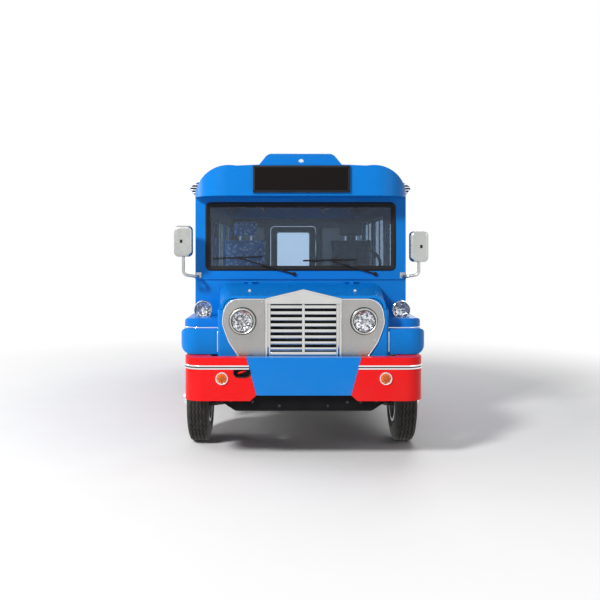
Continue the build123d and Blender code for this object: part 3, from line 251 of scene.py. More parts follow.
def display(name):
    """Unlit dot-matrix panel behind a dark window."""
    g = Graph(bpy.data.materials.new(name))
    mapping = g.set(g.add("ShaderNodeMapping"), Vector=g.place, Scale=(1, 0, 1))
    cells = g.add("ShaderNodeTexVoronoi", feature="F1")
    g.set(cells, Vector=mapping.outputs["Vector"], Scale=110.0, Randomness=0.0)
    dots = g.span(cells.outputs["Distance"], 1, 0, 0.25, 0.35)
    g.set(g.shader, Base_Color=g.mix(dots, (0.003, 0.003, 0.0035), (0.016, 0.008, 0.007)), Roughness=0.22,
          Specular_IOR_Level=0.1)
    return g.owner


BLUE = (0.001, 0.19, 0.62)
RED = (0.8, 0.004, 0.006)
DUST = (0.22, 0.2, 0.18)
# Near-black interior lining, partly painted shade of the cabin.
LINING_AND_CABIN_SHADE = (0.035, 0.037, 0.042)
# Finishes by maker, each row as the maker's arguments after the name
FINISHES = {
    paint: {
        "body_paint": (BLUE,),
        "side_paint": (BLUE, RED),
        "bumper_paint": (RED,),
        "eave_paint": (BLUE,)},
    metal: {
        "stainless_bright": ((0.4, 0.395, 0.385), 0.32, (1, 1, 14), 9, 0.12),
        "grille_chrome": ((0.66, 0.66, 0.65), 0.16, (0.3, 1, 6), 14, 0.3),
        "lamp_chrome": ((0.82, 0.83, 0.84), 0.1, None, 30, 0.03),
        "mirror_chrome": ((0.5, 0.51, 0.5), 0.26, None, 50, 0.03),
        "mirror_glass": ((0.9, 0.91, 0.92), 0.03, None, 3, 0.01),
        "rail_steel": ((0.62, 0.63, 0.64), 0.25, (1, 0.05, 1), 90, 0.05)},
    glass: {
        "screen_glass": ((0.5, 0.66, 0.84), 0.97),
        "tinted_glass": ((0.78, 0.85, 0.92), 0.97, (0.05, 0.055, 0.06)),
        "clear_lens": ((0.97, 0.98, 1.0), 0.95)},
    cloth: {"seat_cloth": ((0.03, 0.16, 0.42), (0.62, 0.72, 0.8))},
    tyre_rubber: {"tyre_rubber": ()},
    core: {"radiator_core": ()},
    painted_facet_reflections: {"reflector": ()},
    display: {"display_dots": ()}}
# Plain surfaces: colour, roughness, spread, scale, grain, grain scale, then other sockets
PLAIN = {
    "chassis_black": ((0.006, 0.006, 0.007), 0.5, 0.3, 8, 0.15, 120, {"Specular_IOR_Level": 0.08}),
    "forged_steel": ((0.06, 0.058, 0.055), 0.6, 0.3, 12, 0.3, 180, {"Metallic": 0.6}),
    "engine_metal": ((0.09, 0.092, 0.095), 0.6, 0.35, 9, 0.4, 90, {"Metallic": 0.5}),
    "wheel_paint": ((0.42, 0.43, 0.44), 0.4, 0.12, 10, 0.08, 200, {"Metallic": 0.35}),
    "trim_black": ((0.013, 0.013, 0.014), 0.55, 0.2, 9, 0.2, 500, {}),
    "rubber": ((0.011, 0.011, 0.012), 0.62, 0.2, 14, 0.15, 350, {}),
    "floor_cover": ((0.035, 0.036, 0.04), 0.7, 0.2, 6, 0.5, 220, {}),
    "signal_amber": ((0.75, 0.14, 0.008), 0.12, 0.1, 40, {"Coat_Weight": 0.5}),
    "signal_brown": ((0.12, 0.014, 0.002), 0.2, 0.1, 40, {}),
    "tail_red": ((0.45, 0.006, 0.008), 0.12, 0.1, 40, {"Coat_Weight": 0.5}),
    "plate_white": ((0.62, 0.62, 0.6), 0.4, 0.05, 6, 0.05, 200, {}),
    "seat_vinyl": ((0.02, 0.024, 0.034), 0.5, 0.15, 10, 0.35, 260, {}),
    "bench_vinyl": ((0.035, 0.05, 0.11), 0.5, 0.15, 10, 0.35, 260, {}),
    "bench_panel": ((0.16, 0.17, 0.18), 0.5, 0.1, 8, 0.2, 200, {}),
    "display_black": ((0.008, 0.008, 0.009), 0.28, 0.2, 9, 0.05, 300, {})}
mats = {name: surface(name, *look, **sockets).owner for name, (*look, sockets) in PLAIN.items()}
for maker, rows in FINISHES.items():
    mats.update({name: maker(name, *row) for name, row in rows.items()})

slots = {part["node"]: part["material_slot"] for part in frame["record"]["subparts"]}
for name, node in nodes.items():
    chosen = "side_paint" if name.startswith(("side_wall", "rear_wall", "entry_leaf")) else slots[name]
    if name.endswith("_glass") or name == "windscreen":
        chosen = "screen_glass" if name == "windscreen" else "tinted_glass"
    node.data.materials.clear()
    node.data.materials.append(mats[chosen])


# Geometry helpers: a mesh is a pair (verts, faces)
def piece(name, mesh, material, body="body", sharp=35, stands_for=()):
    """Mesh object that rides on a body; smooth apart from edges sharper than `sharp` degrees."""
    verts, faces = mesh
    data = bpy.data.meshes.new(name)
    data.from_pydata([tuple(v) for v in verts], [], faces)
    tidy = bmesh.new()
    tidy.from_mesh(data)
    bmesh.ops.remove_doubles(tidy, verts=tidy.verts, dist=1e-5)
    bmesh.ops.recalc_face_normals(tidy, faces=tidy.faces)
    tidy.to_mesh(data)
    tidy.free()
    data.polygons.foreach_set("use_smooth", [True] * len(data.polygons))
    data.set_sharp_from_angle(angle=radians(sharp))
    data.materials.append(mats[material])
    obj = bpy.data.objects.new(name, data)
    scene.collection.objects.link(obj)
    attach(obj, body)
    if stands_for:
        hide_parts(*stands_for)
    return obj


def merge(*meshes):
    """One mesh out of several."""
    verts, faces = [], []
    for some, polys in meshes:
        base = len(verts)
        verts += some
        faces += [[i + base for i in poly] for poly in polys]
    return verts, faces


def to3(axis, u, v, w):
    """Point from in-plane (u, v) and height w along an axis: (y, z), (x, z) or (x, y) in the plane."""
    return {"x": (w, u, v), "y": (u, w, v), "z": (u, v, w)}[axis]


def mirrored(mesh):
    verts, faces = mesh
    return [(-x, y, z) for x, y, z in verts], [list(reversed(f)) for f in faces]


def both(*meshes):
    """Meshes of the left side and their mirror images."""
    mesh = merge(*meshes)
    return merge(mesh, mirrored(mesh))


SIDES = {"left": merge, "right": mirrored}


def skin(rows, ring, loop=True, wrap=True):
    """Quads between rows of `ring` points; the last row meets the first in a loop, and a ring may wrap."""
    faces = []
    for i in range(rows if loop else rows - 1):
        nxt = (i + 1) % rows
        for k in range(ring if wrap else ring - 1):
            m = (k + 1) % ring
            faces.append([i * ring + k, nxt * ring + k, nxt * ring + m, i * ring + m])
    return faces


def ends(rows, ring):
    """Faces that close the first and the last row."""
    return [list(range(ring)), list(range((rows - 1) * ring, rows * ring))[::-1]]


def around(count):
    """Angles of a full turn in equal steps."""
    return [2 * pi * i / count for i in range(count)]


def lathe(axis, at, profile, segments=48, start=0.0, way=1):
    """Turns (height, radius) points about an axis through `at`; heights go from `start`, forward or back."""
    verts = []
    for turn in around(segments):
        for height, radius in profile:
            u, v = at[0] + radius * cos(turn), at[1] + radius * sin(turn)
            verts.append(to3(axis, u, v, start + way * height))
    return verts, skin(segments, len(profile), wrap=False)


def sweep(path, section, normal, closed=False):
    """Sweeps a closed section, as (side, normal) offsets, along a path that lies across `normal`."""
    path, normal = [Vector(p) for p in path], Vector(normal)
    count, ring = len(path), len(section)
    verts = []
    for i, point in enumerate(path):
        before = point - path[i - 1] if closed or i else path[1] - path[0]
        after = path[(i + 1) % count] - point if closed or i < count - 1 else before
        before, after = before.normalized(), after.normalized()
        side = (normal.cross(before) + normal.cross(after)).normalized()
        stretch = 1 / max(0.35, side.dot(normal.cross(before).normalized()))
        verts += [point + side * (a * stretch) + normal * b for a, b in section]
    return verts, skin(count, ring, closed) + ([] if closed else ends(count, ring))


def disc_section(radius, count=10, flat=1.0):
    return [(radius * cos(t), flat * radius * sin(t)) for t in around(count)]


def tube(points, radius, count=12):
    """Round tube along points, with its ring carried from point to point without twist."""
    points = [Vector(p) for p in points]
    last = len(points) - 1
    heads = [(points[min(i + 1, last)] - points[max(i - 1, 0)]).normalized() for i in range(last + 1)]
    side = heads[0].orthogonal().normalized()
    verts = []
    for head, point in zip(heads, points):
        side = (side - head * side.dot(head)).normalized()
        other = head.cross(side)
        verts += [point + side * a + other * b for a, b in disc_section(radius, count)]
    return verts, skin(last + 1, count, loop=False) + ends(last + 1, count)


def rounded(u0, u1, v0, v1, radius, steps=6):
    """Points around a rectangle with rounded corners, counter-clockwise."""
    points = []
    for cu, cv, start in ((u1 - radius, v0 + radius, -90), (u1 - radius, v1 - radius, 0),
                          (u0 + radius, v1 - radius, 90), (u0 + radius, v0 + radius, 180)):
        for i in range(steps + 1):
            turn = radians(start + 90 * i / steps)
            points.append((cu + radius * cos(turn), cv + radius * sin(turn)))
    return points


def slab(axis, outline, low, high, ease=0.0):
    """Plate across an axis between two heights, its edges eased by a small chamfer."""
    count = len(outline)
    u_mid = sum(p[0] for p in outline) / count
    v_mid = sum(p[1] for p in outline) / count
    rings = [(low, 0), (high, 0)]
    if ease:
        rings = [(low, ease), (low + ease, 0), (high - ease, 0), (high, ease)]
    verts = []
    for height, inset in rings:
        for u, v in outline:
            share = inset / (hypot(u - u_mid, v - v_mid) or 1)
            verts.append(to3(axis, u - (u - u_mid) * share, v - (v - v_mid) * share, height))
    return verts, skin(len(rings), count, loop=False) + ends(len(rings), count)


def box(low, high, ease=0.004):
    """Block between two corners with eased edges."""
    return slab("z", rounded(low[0], high[0], low[1], high[1], ease, 2), low[2], high[2], ease)


def rim_frame(axis, outline, section, height, normal):
    """Moulding swept around a closed outline across an axis."""
    return sweep([to3(axis, u, v, height) for u, v in outline], section, normal, closed=True)


def corners(points, steps=6):
    """Closed outline from (u, v, radius) corners joined by lines and arcs, counter-clockwise."""
    out, count = [], len(points)
    for i, (u, v, radius) in enumerate(points):
        here = Vector((u, v))
        back = (Vector(points[i - 1][:2]) - here).normalized()
        ahead = (Vector(points[(i + 1) % count][:2]) - here).normalized()
        if not radius:
            out.append((u, v))
            continue
        half = back.angle(ahead) / 2
        centre = here + (back + ahead).normalized() * (radius / sin(half))
        arms = [here + way * (radius / tan(half)) - centre for way in (back, ahead)]
        first, turn = atan2(arms[0].y, arms[0].x), arms[1].angle_signed(arms[0])
        for k in range(steps + 1):
            angle = first + turn * k / steps
            out.append((centre.x + radius * cos(angle), centre.y + radius * sin(angle)))
    return out


def level_bend(x, y, z, radius, steps):
    """Quarter turn of a level line that runs along X at y and then along Y at x."""
    turns = [radians(90 * i / steps) for i in range(1, steps + 1)]
    return [(x - radius * (1 - sin(t)), y + radius * (1 - cos(t)), z) for t in turns]


# Tyres: rib tread with zigzag grooves, notched shoulders and a raised ring on each wall
TYRE_R, CROWN_HALF, CROWN_DROP = 0.388, 0.066, 0.0015
TYRE_WALL = [(0.0795, 0.2035), (0.0795, 0.224), (0.089, 0.246), (0.0945, 0.262), (0.0965, 0.264),
             (0.0985, 0.29), (0.0985, 0.302), (0.0965, 0.304), (0.0945, 0.33), (0.0885, 0.356),
             (0.0815, 0.3715), (0.0755, 0.3805)]
GROOVES = (-0.047, -0.016, 0.016, 0.047)
WAVES, GROOVE_HALF, GROOVE_FOOT, GROOVE_D, ZIG = 40, 0.0045, 0.0033, 0.01, 0.006


def tyre(x, axle_y):
    verts, steps = [], 4 * WAVES
    for i, turn in enumerate(around(steps)):
        zig = (ZIG, 0.0, -ZIG, 0.0)[i % 4]
        notch = ZIG if i % 4 == 0 else 0.0
        ring = [(-a, r) for a, r in TYRE_WALL[:-2]] + [(-a, r - notch) for a, r in TYRE_WALL[-2:]]
        ring.append((-CROWN_HALF, TYRE_R - CROWN_DROP))
        wall = [(-a, r) for a, r in reversed(ring)]
        for centre in GROOVES:
            at = centre + zig
            ring += [(at - GROOVE_HALF, TYRE_R), (at - GROOVE_FOOT, TYRE_R - GROOVE_D),
                     (at + GROOVE_FOOT, TYRE_R - GROOVE_D), (at + GROOVE_HALF, TYRE_R)]
        ring += wall
        verts += [(x + a, axle_y + r * cos(turn), AXLE_Z + r * sin(turn)) for a, r in ring]
    return verts, skin(steps, len(ring))


NUT_CIRCLE_R = 0.111
NUT = [(0.0, 0.0), (0.0, 0.0205), (0.004, 0.0205), (0.006, 0.0175), (0.034, 0.0165), (0.04, 0.011),
       (0.042, 0.0)]


def nuts(start, axle_y):
    """Six bright nut caps on their circle."""
    spots = [(axle_y + NUT_CIRCLE_R * cos(t), AXLE_Z + NUT_CIRCLE_R * sin(t)) for t in around(6)]
    return merge(*[lathe("x", at, NUT, 6, start) for at in spots])


def valve(x, axle_y):
    points = [(x, axle_y, AXLE_Z + 0.172), (x + 0.02, axle_y, AXLE_Z + 0.168),
              (x + 0.045, axle_y, AXLE_Z + 0.16)]
    return tube(points, 0.004, 8)


FRONT_CAP = [(1.018, 0.0745), (1.05, 0.0755), (1.054, 0.072), (1.056, 0.06), (1.078, 0.057), (1.085, 0.048),
             (1.087, 0.02), (1.087, 0.0)]
REAR_CAP = [(0.79, 0.0745), (0.918, 0.0755), (0.926, 0.07), (0.929, 0.05), (0.931, 0.02), (0.931, 0.0)]
# End, axle, tyre centres, start of the nuts, hub cap, valve
WHEELS = [("front", FRONT_AXLE_Y, (0.928,), 1.018, FRONT_CAP, 1.0),
          ("rear", REAR_AXLE_Y, (0.655, 0.885), 0.784, REAR_CAP, 0.82)]
for end, axle_y, centres, nut_x, hub, valve_x in WHEELS:
    bright = merge(nuts(nut_x, axle_y), lathe("x", (axle_y, AXLE_Z), hub))
    for side, turn in SIDES.items():
        body = f"wheel_{end}_{side}"
        piece(f"tread_{end}_{side}", turn(merge(*[tyre(x, axle_y) for x in centres])), "tyre_rubber",
              body=body, sharp=28, stands_for=(f"tyre_{end}_{side}",))
        piece(f"nuts_{end}_{side}", turn(bright), "lamp_chrome", body=body, sharp=30)
        piece(f"valve_{end}_{side}", turn(valve(valve_x, axle_y)), "rubber", body)

# Lamps
DISH_RINGS = 7


def dish(at, radius, segments, level):
    """Disc across Y whose points have y = level(share of the radius, segment)."""
    verts = []
    for i, turn in enumerate(around(segments)):
        for k in range(DISH_RINGS):
            share = 1 - k / (DISH_RINGS - 1)
            away = radius * share
            verts.append((at[0] + away * cos(turn), level(share, i), at[1] + away * sin(turn)))
    return verts, skin(segments, DISH_RINGS, wrap=False)


def lamp_rim(at, face, depth, bezel, lens):
    """Bright rolled rim of a lamp that faces -Y from y = face."""
    shares = [(0, 1), (0.55, 1), (0.85, 0.985), (0.97, 0.95), (1, 0.915), (0.96, 0.875)]
    rim = [(depth * out, bezel * wide) for out, wide in shares] + [(depth * 0.86, lens)]
    return lathe("y", at, rim, 64, face, -1)


def lamp_bowl(at, face, depth, lens, facets):
    """Faceted reflector behind the lens."""
    def level(share, i):
        lift = depth * 0.09 * sin(pi * ((i % 6) + 0.5) / 6)
        return face - depth * (0.12 + 0.74 * share ** 2) + lift * share * (1 - share) * 4

    return dish(at, lens, 6 * facets, level)


def lens_shell(at, face, radius, bulge, flutes, thick=0.003, ripple=0.0012):
    """Domed cover glass with moulded radial flutes on its inside."""
    def outer(share, i):
        return face - bulge * (1 - share ** 2)

    def inner(share, i):
        return outer(share, i) + thick + ripple * cos(pi * i / 2) * share

    segments = 4 * flutes
    verts, faces = merge(dish(at, radius, segments, outer), dish(at, radius, segments, inner))
    rim = [i * DISH_RINGS for i in range(segments)]
    half = len(verts) // 2
    faces += [[a, b, b + half, a + half] for a, b in zip(rim, rim[1:] + rim[:1])]
    return verts, faces


def bowl_and_lens(name, bowl, lens):
    # The bowls take the reflector finish, whose light and dark cells are painted reflections.
    piece(f"{name}_bowls", both(bowl), "reflector", sharp=20)
    piece(f"{name}_lenses", both(lens), "clear_lens")


HEAD_AT, HEAD_FACE, HEAD_DEPTH, HEAD_LENS = (0.507, 1.161), NOSE_Y - 0.006, 0.046, 0.089
piece("headlamp_rims", both(lamp_rim(HEAD_AT, HEAD_FACE, HEAD_DEPTH, 0.11, HEAD_LENS)), "mirror_chrome",
      sharp=30, stands_for=("headlamps",))
# Black rings: a rubber gasket round the lens, and at the rim's foot a thin black ring that is a painted
# shadow gap against the plate.
gasket = lathe("y", HEAD_AT, [(0.0422, 0.0952), (0.044, 0.0925), (0.0405, 0.0885)], 64, HEAD_FACE, -1)
shadow_seam_ring = lathe("y", HEAD_AT, [(0.0, 0.1095), (0.004, 0.1105), (0.004, 0.1145), (0.0, 0.116)], 64, HEAD_FACE, -1)
piece("headlamp_gaskets_and_shadow_rings", both(gasket, shadow_seam_ring), "trim_black")
bowl_and_lens("headlamp", lamp_bowl(HEAD_AT, HEAD_FACE, HEAD_DEPTH, HEAD_LENS, 10),
              lens_shell(HEAD_AT, HEAD_FACE - 0.04, 0.0885, 0.02, 20))
bulb = [(0.006, 0.0), (0.006, 0.02), (0.02, 0.02), (0.034, 0.013), (0.036, 0.0)]
piece("headlamp_bulbs", both(lathe("y", HEAD_AT, bulb, 24, HEAD_FACE, -1)), "mirror_chrome")

POST_AT, POST_FACE, POST_LENS = (0.873, 1.226), FRONT_Y + 0.56, 0.07
shell = [(0.083, 0.0), (0.08, 0.02), (0.066, 0.05), (0.04, 0.072), (0.0, 0.0825), (-0.03, 0.0825)]
stem = [(1.1695, 0.0), (1.1695, 0.036), (1.174, 0.036), (1.178, 0.024), (1.2, 0.022), (1.2, 0.0)]
post = merge(lamp_rim(POST_AT, POST_FACE, 0.06, 0.0835, POST_LENS),
             lathe("y", POST_AT, shell, start=POST_FACE),
             lathe("z", (POST_AT[0], POST_FACE + 0.02), stem, 24))
piece("fender_lamp_shells", both(post), "lamp_chrome", sharp=30, stands_for=("fender_lamps",))
bowl_and_lens("fender_lamp", lamp_bowl(POST_AT, POST_FACE - 0.0206, 0.036, POST_LENS, 8),
              lens_shell(POST_AT, POST_FACE - 0.052, 0.0695, 0.016, 16))

SIGNAL_AT = (0.67, 0.704)
ring = [(0.0, 0.0535), (0.007, 0.0535), (0.012, 0.05), (0.012, 0.044), (0.007, 0.039), (0.0, 0.038)]
piece("signal_rings", both(lathe("y", SIGNAL_AT, ring, 48, FRONT_Y, -1)), "lamp_chrome", sharp=30,
      stands_for=("turn_signals",))
ribs = []
for turn in around(8):
    ribs.append(tube([(SIGNAL_AT[0] + r * cos(turn), FRONT_Y - 0.0142 + 3.4 * r * r,
                       SIGNAL_AT[1] + r * sin(turn)) for r in (0.006, 0.014, 0.022, 0.03)], 0.0027, 6))
piece("signal_ribs", both(*ribs), "signal_brown")
lens = lens_shell(SIGNAL_AT, FRONT_Y - 0.006, 0.039, 0.01, 12)
piece("signal_lenses", both(lens), "signal_amber", sharp=15)

# Grille: bright surround with a pitched header, rounded slats in two columns
GRILLE_FRONT, GRILLE_OUT, GRILLE_IN, GRILLE_LOW, GRILLE_HIGH = NOSE_Y - 0.04, 0.32, 0.275, 0.868, 1.305
GRILLE_SILL, HEADER_Z, PEAK, SLATS = 0.905, 1.345, 1.421, 8
header = [(-GRILLE_OUT, GRILLE_HIGH), (GRILLE_OUT, GRILLE_HIGH), (GRILLE_OUT, HEADER_Z), (0, PEAK),
          (-GRILLE_OUT, HEADER_Z)]
surround = [slab("y", header, GRILLE_FRONT, NOSE_Y, 0.003)]
roll_y = GRILLE_FRONT + 0.012
for sign in (-1, 1):
    low, high = sorted((sign * GRILLE_IN, sign * GRILLE_OUT))
    surround.append(box((low, roll_y, GRILLE_LOW), (high, NOSE_Y, GRILLE_HIGH + 0.002), 0.003))
    for x, radius in ((sign * 0.309, 0.012), (sign * 0.281, 0.0085)):
        surround.append(tube([(x, roll_y, GRILLE_LOW + 0.001), (x, roll_y, GRILLE_HIGH + 0.03)], radius, 16))
surround.append(box((-GRILLE_IN, GRILLE_FRONT + 0.008, GRILLE_LOW), (GRILLE_IN, NOSE_Y, 0.906), 0.004))
surround.append(box((-0.012, GRILLE_FRONT + 0.006, 0.9), (0.012, NOSE_Y - 0.004, GRILLE_HIGH + 0.002), 0.005))
peak_y, rail_y, reach = GRILLE_FRONT + 0.006, GRILLE_FRONT + 0.004, GRILLE_OUT - 0.004
peak = [(-reach, peak_y, HEADER_Z - 0.002), (0, peak_y, PEAK - 0.002), (reach, peak_y, HEADER_Z - 0.002)]
surround.append(sweep(peak, disc_section(0.009, 12), FORWARD))
surround.append(sweep([(-reach, rail_y, 1.312), (reach, rail_y, 1.312)], disc_section(0.007), FORWARD))
piece("grille_surround", merge(*surround), "grille_chrome", sharp=40,
      stands_for=("grille",))
BLADE = [(0.015 * cos(t) + 0.004 * sin(t), 0.0105 * sin(t)) for t in around(14)]
slats = []
for i in range(SLATS):
    z = GRILLE_SILL + (GRILLE_HIGH - GRILLE_SILL) / SLATS * (i + 0.5)
    for a, b in ((-GRILLE_IN + 0.002, -0.011), (0.011, GRILLE_IN - 0.002)):
        shares = [k / 12 for k in range(13)]
        curve = [(a + (b - a) * s, GRILLE_FRONT + 0.014 - 0.003 * sin(pi * s), z) for s in shares]
        slats.append(sweep(curve, BLADE, FORWARD))
piece("grille_slats", merge(*slats), "grille_chrome", sharp=50)

# Bright plates: beaded edge and fixing screws; the plates themselves are the frame's own
PLATE_FACE = NOSE_Y - 0.006
plate = corners([(0.322, 0.87, 0), (0.545, 0.87, 0.015), (0.622, 0.985, 0.2), (0.678, 1.14, 0.14),
                 (0.652, 1.343, 0.13), (0.322, 1.343, 0)])
edge = [to3("y", u, v, PLATE_FACE) for u, v in plate[1:]]
piece("plate_beads", both(sweep(edge, disc_section(0.0045), FORWARD)), "lamp_chrome", sharp=60)
SCREWS = ((0.345, 0.9), (0.345, 1.12), (0.345, 1.315), (0.655, 1.17), (0.53, 0.895), (0.53, 1.322),
          (0.6, 1.0))
SCREW = [(0.0, 0.007), (0.0025, 0.006), (0.0035, 0.0)]
piece("plate_screws", both(*[lathe("y", at, SCREW, 12, PLATE_FACE, -1) for at in SCREWS]), "mirror_chrome")

# Bumper: bright moulding with a dark insert on the red corners, lined tow slot, skid plate bolts
BUMPER_X, BUMPER_R = 0.984, 0.15
run = [(x, FRONT_Y, LINE_Z) for x in (0.447, 0.62, BUMPER_X - BUMPER_R)]
run += level_bend(BUMPER_X, FRONT_Y, LINE_Z, BUMPER_R, 12)
run += [(BUMPER_X, FRONT_Y + 0.26, LINE_Z), (BUMPER_X, FRONT_Y + 0.378, LINE_Z)]
MOULDING = [(-0.001, -0.0165), (0.004, -0.0165), (0.0065, -0.013), (0.0065, -0.005), (0.003, -0.003),
            (0.003, 0.003), (0.0065, 0.005), (0.0065, 0.013), (0.004, 0.0165), (-0.001, 0.0165)]
OUTWARDS = [(-a, b) for a, b in MOULDING]
INSERT = [(0.0, -0.0034), (0.0, 0.0034), (-0.0045, 0.0034), (-0.0045, -0.0034)]
piece("bumper_mouldings", both(sweep(run, OUTWARDS, UP)), "lamp_chrome", sharp=40)
piece("moulding_inserts", both(sweep(run, INSERT, UP)), "trim_black")
slot_line = rounded(-0.57, -0.44, 0.718, 0.79, 0.0355, 8)
LINER = [(0.0, 0.003), (-0.008, 0.003), (-0.008, 0.0), (0.0, 0.0), (0.0, -0.05), (0.003, -0.05)]
liner = rim_frame("y", slot_line, LINER, FRONT_Y, FORWARD)
back = slab("y", slot_line, FRONT_Y + 0.044, FRONT_Y + 0.05)
piece("tow_slot", merge(liner, back), "trim_black")
HOOK = ((-0.535, 0.04, 0.735), (-0.53, 0.014, 0.748), (-0.505, 0.008, 0.756), (-0.48, 0.014, 0.764),
        (-0.475, 0.04, 0.775))
piece("tow_hook", tube([(x, FRONT_Y + y, z) for x, y, z in HOOK], 0.008), "bumper_paint")
SKID_BOLTS = ((-0.6, 0.51), (-0.42, 0.505), (0.36, 0.5), (0.47, 0.5), (0.6, 0.51), (-0.2, 0.47), (0.2, 0.47))
BOLT = [(0.06, 0.012), (0.056, 0.012), (0.056, 0.0075), (0.051, 0.0065), (0.051, 0.0)]
piece("skid_bolts", merge(*[lathe("y", at, BOLT, 12, FRONT_Y) for at in SKID_BOLTS]), "forged_steel")
skid = corners([(-0.7, 0.56, 0), (-0.7, 0.526, 0.06), (-0.56, 0.434, 0.06), (0.56, 0.434, 0.06),
                (0.7, 0.526, 0.06), (0.7, 0.56, 0)])
lip = sweep([to3("y", u, v, FRONT_Y + 0.066) for u, v in skid], disc_section(0.007), FORWARD)
piece("skid_lip", lip, "chassis_black")

# Glazing rubbers: section as (inwards, outwards) from the opening's edge
BAY_END, BAY_POST, CORNER_R = 2.814, 0.09, 0.055


def bays(start, count):
    width = (BAY_END - start - BAY_POST * (count - 1)) / count
    starts = [start + i * (width + BAY_POST) for i in range(count)]
    return [(y, y + width) for y in starts]


BAYS = {"left": [(-1.875, -1.64), *bays(-0.64, 3)], "right": [(-1.875, -1.64), (-1.56, -0.76), *bays(0.3, 2)]}
RUBBER = [(-0.014, -0.001), (-0.014, 0.004), (-0.010, 0.007), (0.010, 0.007), (0.022, 0.001), (0.026, -0.013),
          (0.0, -0.013)]
REAR_RUBBER = [(-a, b) for a, b in RUBBER]
SCREEN_RUBBER = [(-0.006, -0.001), (-0.006, 0.006), (0.0, 0.011), (0.014, 0.011), (0.022, 0.005),
                 (0.040, 0.003), (0.040, -0.004), (0.0, -0.004)]


def rubber(name, mesh, body="body"):
    piece(name, mesh, "rubber", body, 40)


def side_rubber(y0, y1, z0, z1):
    return rim_frame("x", rounded(y0, y1, z0, z1, CORNER_R), RUBBER, SIDE_X, (1, 0, 0))


def rear_rubber(x0, x1, z0, z1):
    return rim_frame("y", rounded(x0, x1, z0, z1, CORNER_R), REAR_RUBBER, BACK_Y, (0, 1, 0))


screen_edge = rounded(-0.904, 0.904, 1.563, 2.204, 0.045, 8)
rubber("screen_rubber", rim_frame("y", screen_edge, SCREEN_RUBBER, COWL_Y, FORWARD))
shade = [(-0.9, 2.155), (0.9, 2.155), (0.9, 2.2), (-0.9, 2.2)]
piece("screen_band", slab("y", shade, COWL_Y + 0.009, COWL_Y + 0.011), "trim_black")
for side, turn in SIDES.items():
    panes = [side_rubber(*bay, SILL_Z, HEAD_Z) for bay in BAYS[side]]
    rubber(f"window_rubbers_{side}", turn(merge(*panes)))
rubber("driver_door_rubber", side_rubber(-1.479, -0.841, SILL_Z, DOOR_HEAD_Z), "driver_door")
rubber("entry_front_rubber", mirrored(side_rubber(-0.554, -0.283, 0.8, 2.07)), "entry_front")
rubber("entry_rear_rubber", mirrored(side_rubber(-0.157, 0.104, 0.8, 2.07)), "entry_rear")
rubber("rear_window_rubbers", both(rear_rubber(0.44, 0.9, SILL_Z, HEAD_Z)))
rubber("rear_door_rubber", rear_rubber(-0.279, 0.279, SILL_Z, DOOR_HEAD_Z), "rear_door")


# Body sides: bright waist line over the red band, arch lips, bright eave edges, lamps, filler flap
def bright_line(name, mesh, body="body"):
    piece(name, mesh, "lamp_chrome", body=body, sharp=40)


def line_along(y0, y1):
    return sweep([(SIDE_X, y0, LINE_Z), (SIDE_X, y1, LINE_Z)], OUTWARDS, UP)


SIDE_LINES = {"left": ((-1.925, 0.985), (1.425, 2.985)),
              "right": ((-1.925, -0.64), (0.2, 0.985), (1.425, 2.985))}
for side, turn in SIDES.items():
    bright_line(f"side_line_{side}", turn(merge(*[line_along(*span) for span in SIDE_LINES[side]])))
bright_line("entry_front_line", mirrored(line_along(-0.612, -0.226)), "entry_front")
bright_line("entry_rear_line", mirrored(line_along(-0.214, 0.162)), "entry_rear")
bright_line("rear_line", sweep([(-0.998, BACK_Y, LINE_Z), (0.998, BACK_Y, LINE_Z)], MOULDING, UP))


def arch_lip(axle_y, radius, first, last, steps=28):
    """Rubber lip around a wheel arch, between two angles in degrees."""
    turns = [radians(first + (last - first) * i / steps) for i in range(steps + 1)]
    path = [(SIDE_X, axle_y + radius * cos(t), AXLE_Z + radius * sin(t)) for t in turns]
    return sweep(path, disc_section(0.011), (1, 0, 0))


lips = both(arch_lip(REAR_AXLE_Y, 0.46, 17.5, 162.5), arch_lip(FRONT_AXLE_Y, 0.475, 17.5, 55))
piece("arch_lips", lips, "rubber", sharp=60)
EAVE_FRONT_Y, EAVE_BACK_Y, EAVE_X = COWL_Y + 0.13, 2.928, 1.07
EAVE_FOOT_Z, EAVE_LOW_Z, EAVE_HIGH_Z, EAVE_TOP_X, EAVE_TOP_Z = 2.26, 2.346, 2.368, 0.936, 2.448
strip = box((EAVE_X - 0.004, EAVE_FRONT_Y + 0.002, EAVE_LOW_Z), (EAVE_X + 0.0015, EAVE_BACK_Y, EAVE_HIGH_Z),
            0.002)
piece("eave_strips", both(strip), "lamp_chrome")
cap = [(1.004, 2.268), (1.064, 2.347), (1.064, 2.367), (0.95, 2.436), (0.93, 2.436), (0.99, 2.35)]
piece("eave_caps", both(slab("y", cap, EAVE_FRONT_Y - 0.004, EAVE_FRONT_Y + 0.001)), "trim_black")
SHOULDER_X, SHOULDER_Z, CROWN_Z, ROOF_SIDE_Z = 0.6, 2.53, 2.545, 2.29
bars = []
for z in (2.285 + 0.026 * i for i in range(6)):
    rise = max(0.0, (z - ROOF_SIDE_Z) / (SHOULDER_Z - ROOF_SIDE_Z))
    inner = SHOULDER_X + (SIDE_X - SHOULDER_X) * sqrt(1 - rise ** 2) - 0.004
    under = SIDE_X + (EAVE_X - SIDE_X) * (z - EAVE_FOOT_Z) / (EAVE_LOW_Z - EAVE_FOOT_Z)
    over = EAVE_X - (EAVE_X - EAVE_TOP_X) * (z - EAVE_HIGH_Z) / (EAVE_TOP_Z - EAVE_HIGH_Z)
    outer = min(under, over) - 0.004
    bars.append(box((inner, EAVE_FRONT_Y - 0.009, z - 0.005), (outer, EAVE_FRONT_Y - 0.002, z + 0.005),
                    0.002))
piece("eave_cap_bars", both(*bars), "lamp_chrome")
MARKER_Y, MARKER_Z = (-1.2, 0.55, 2.35), 0.68


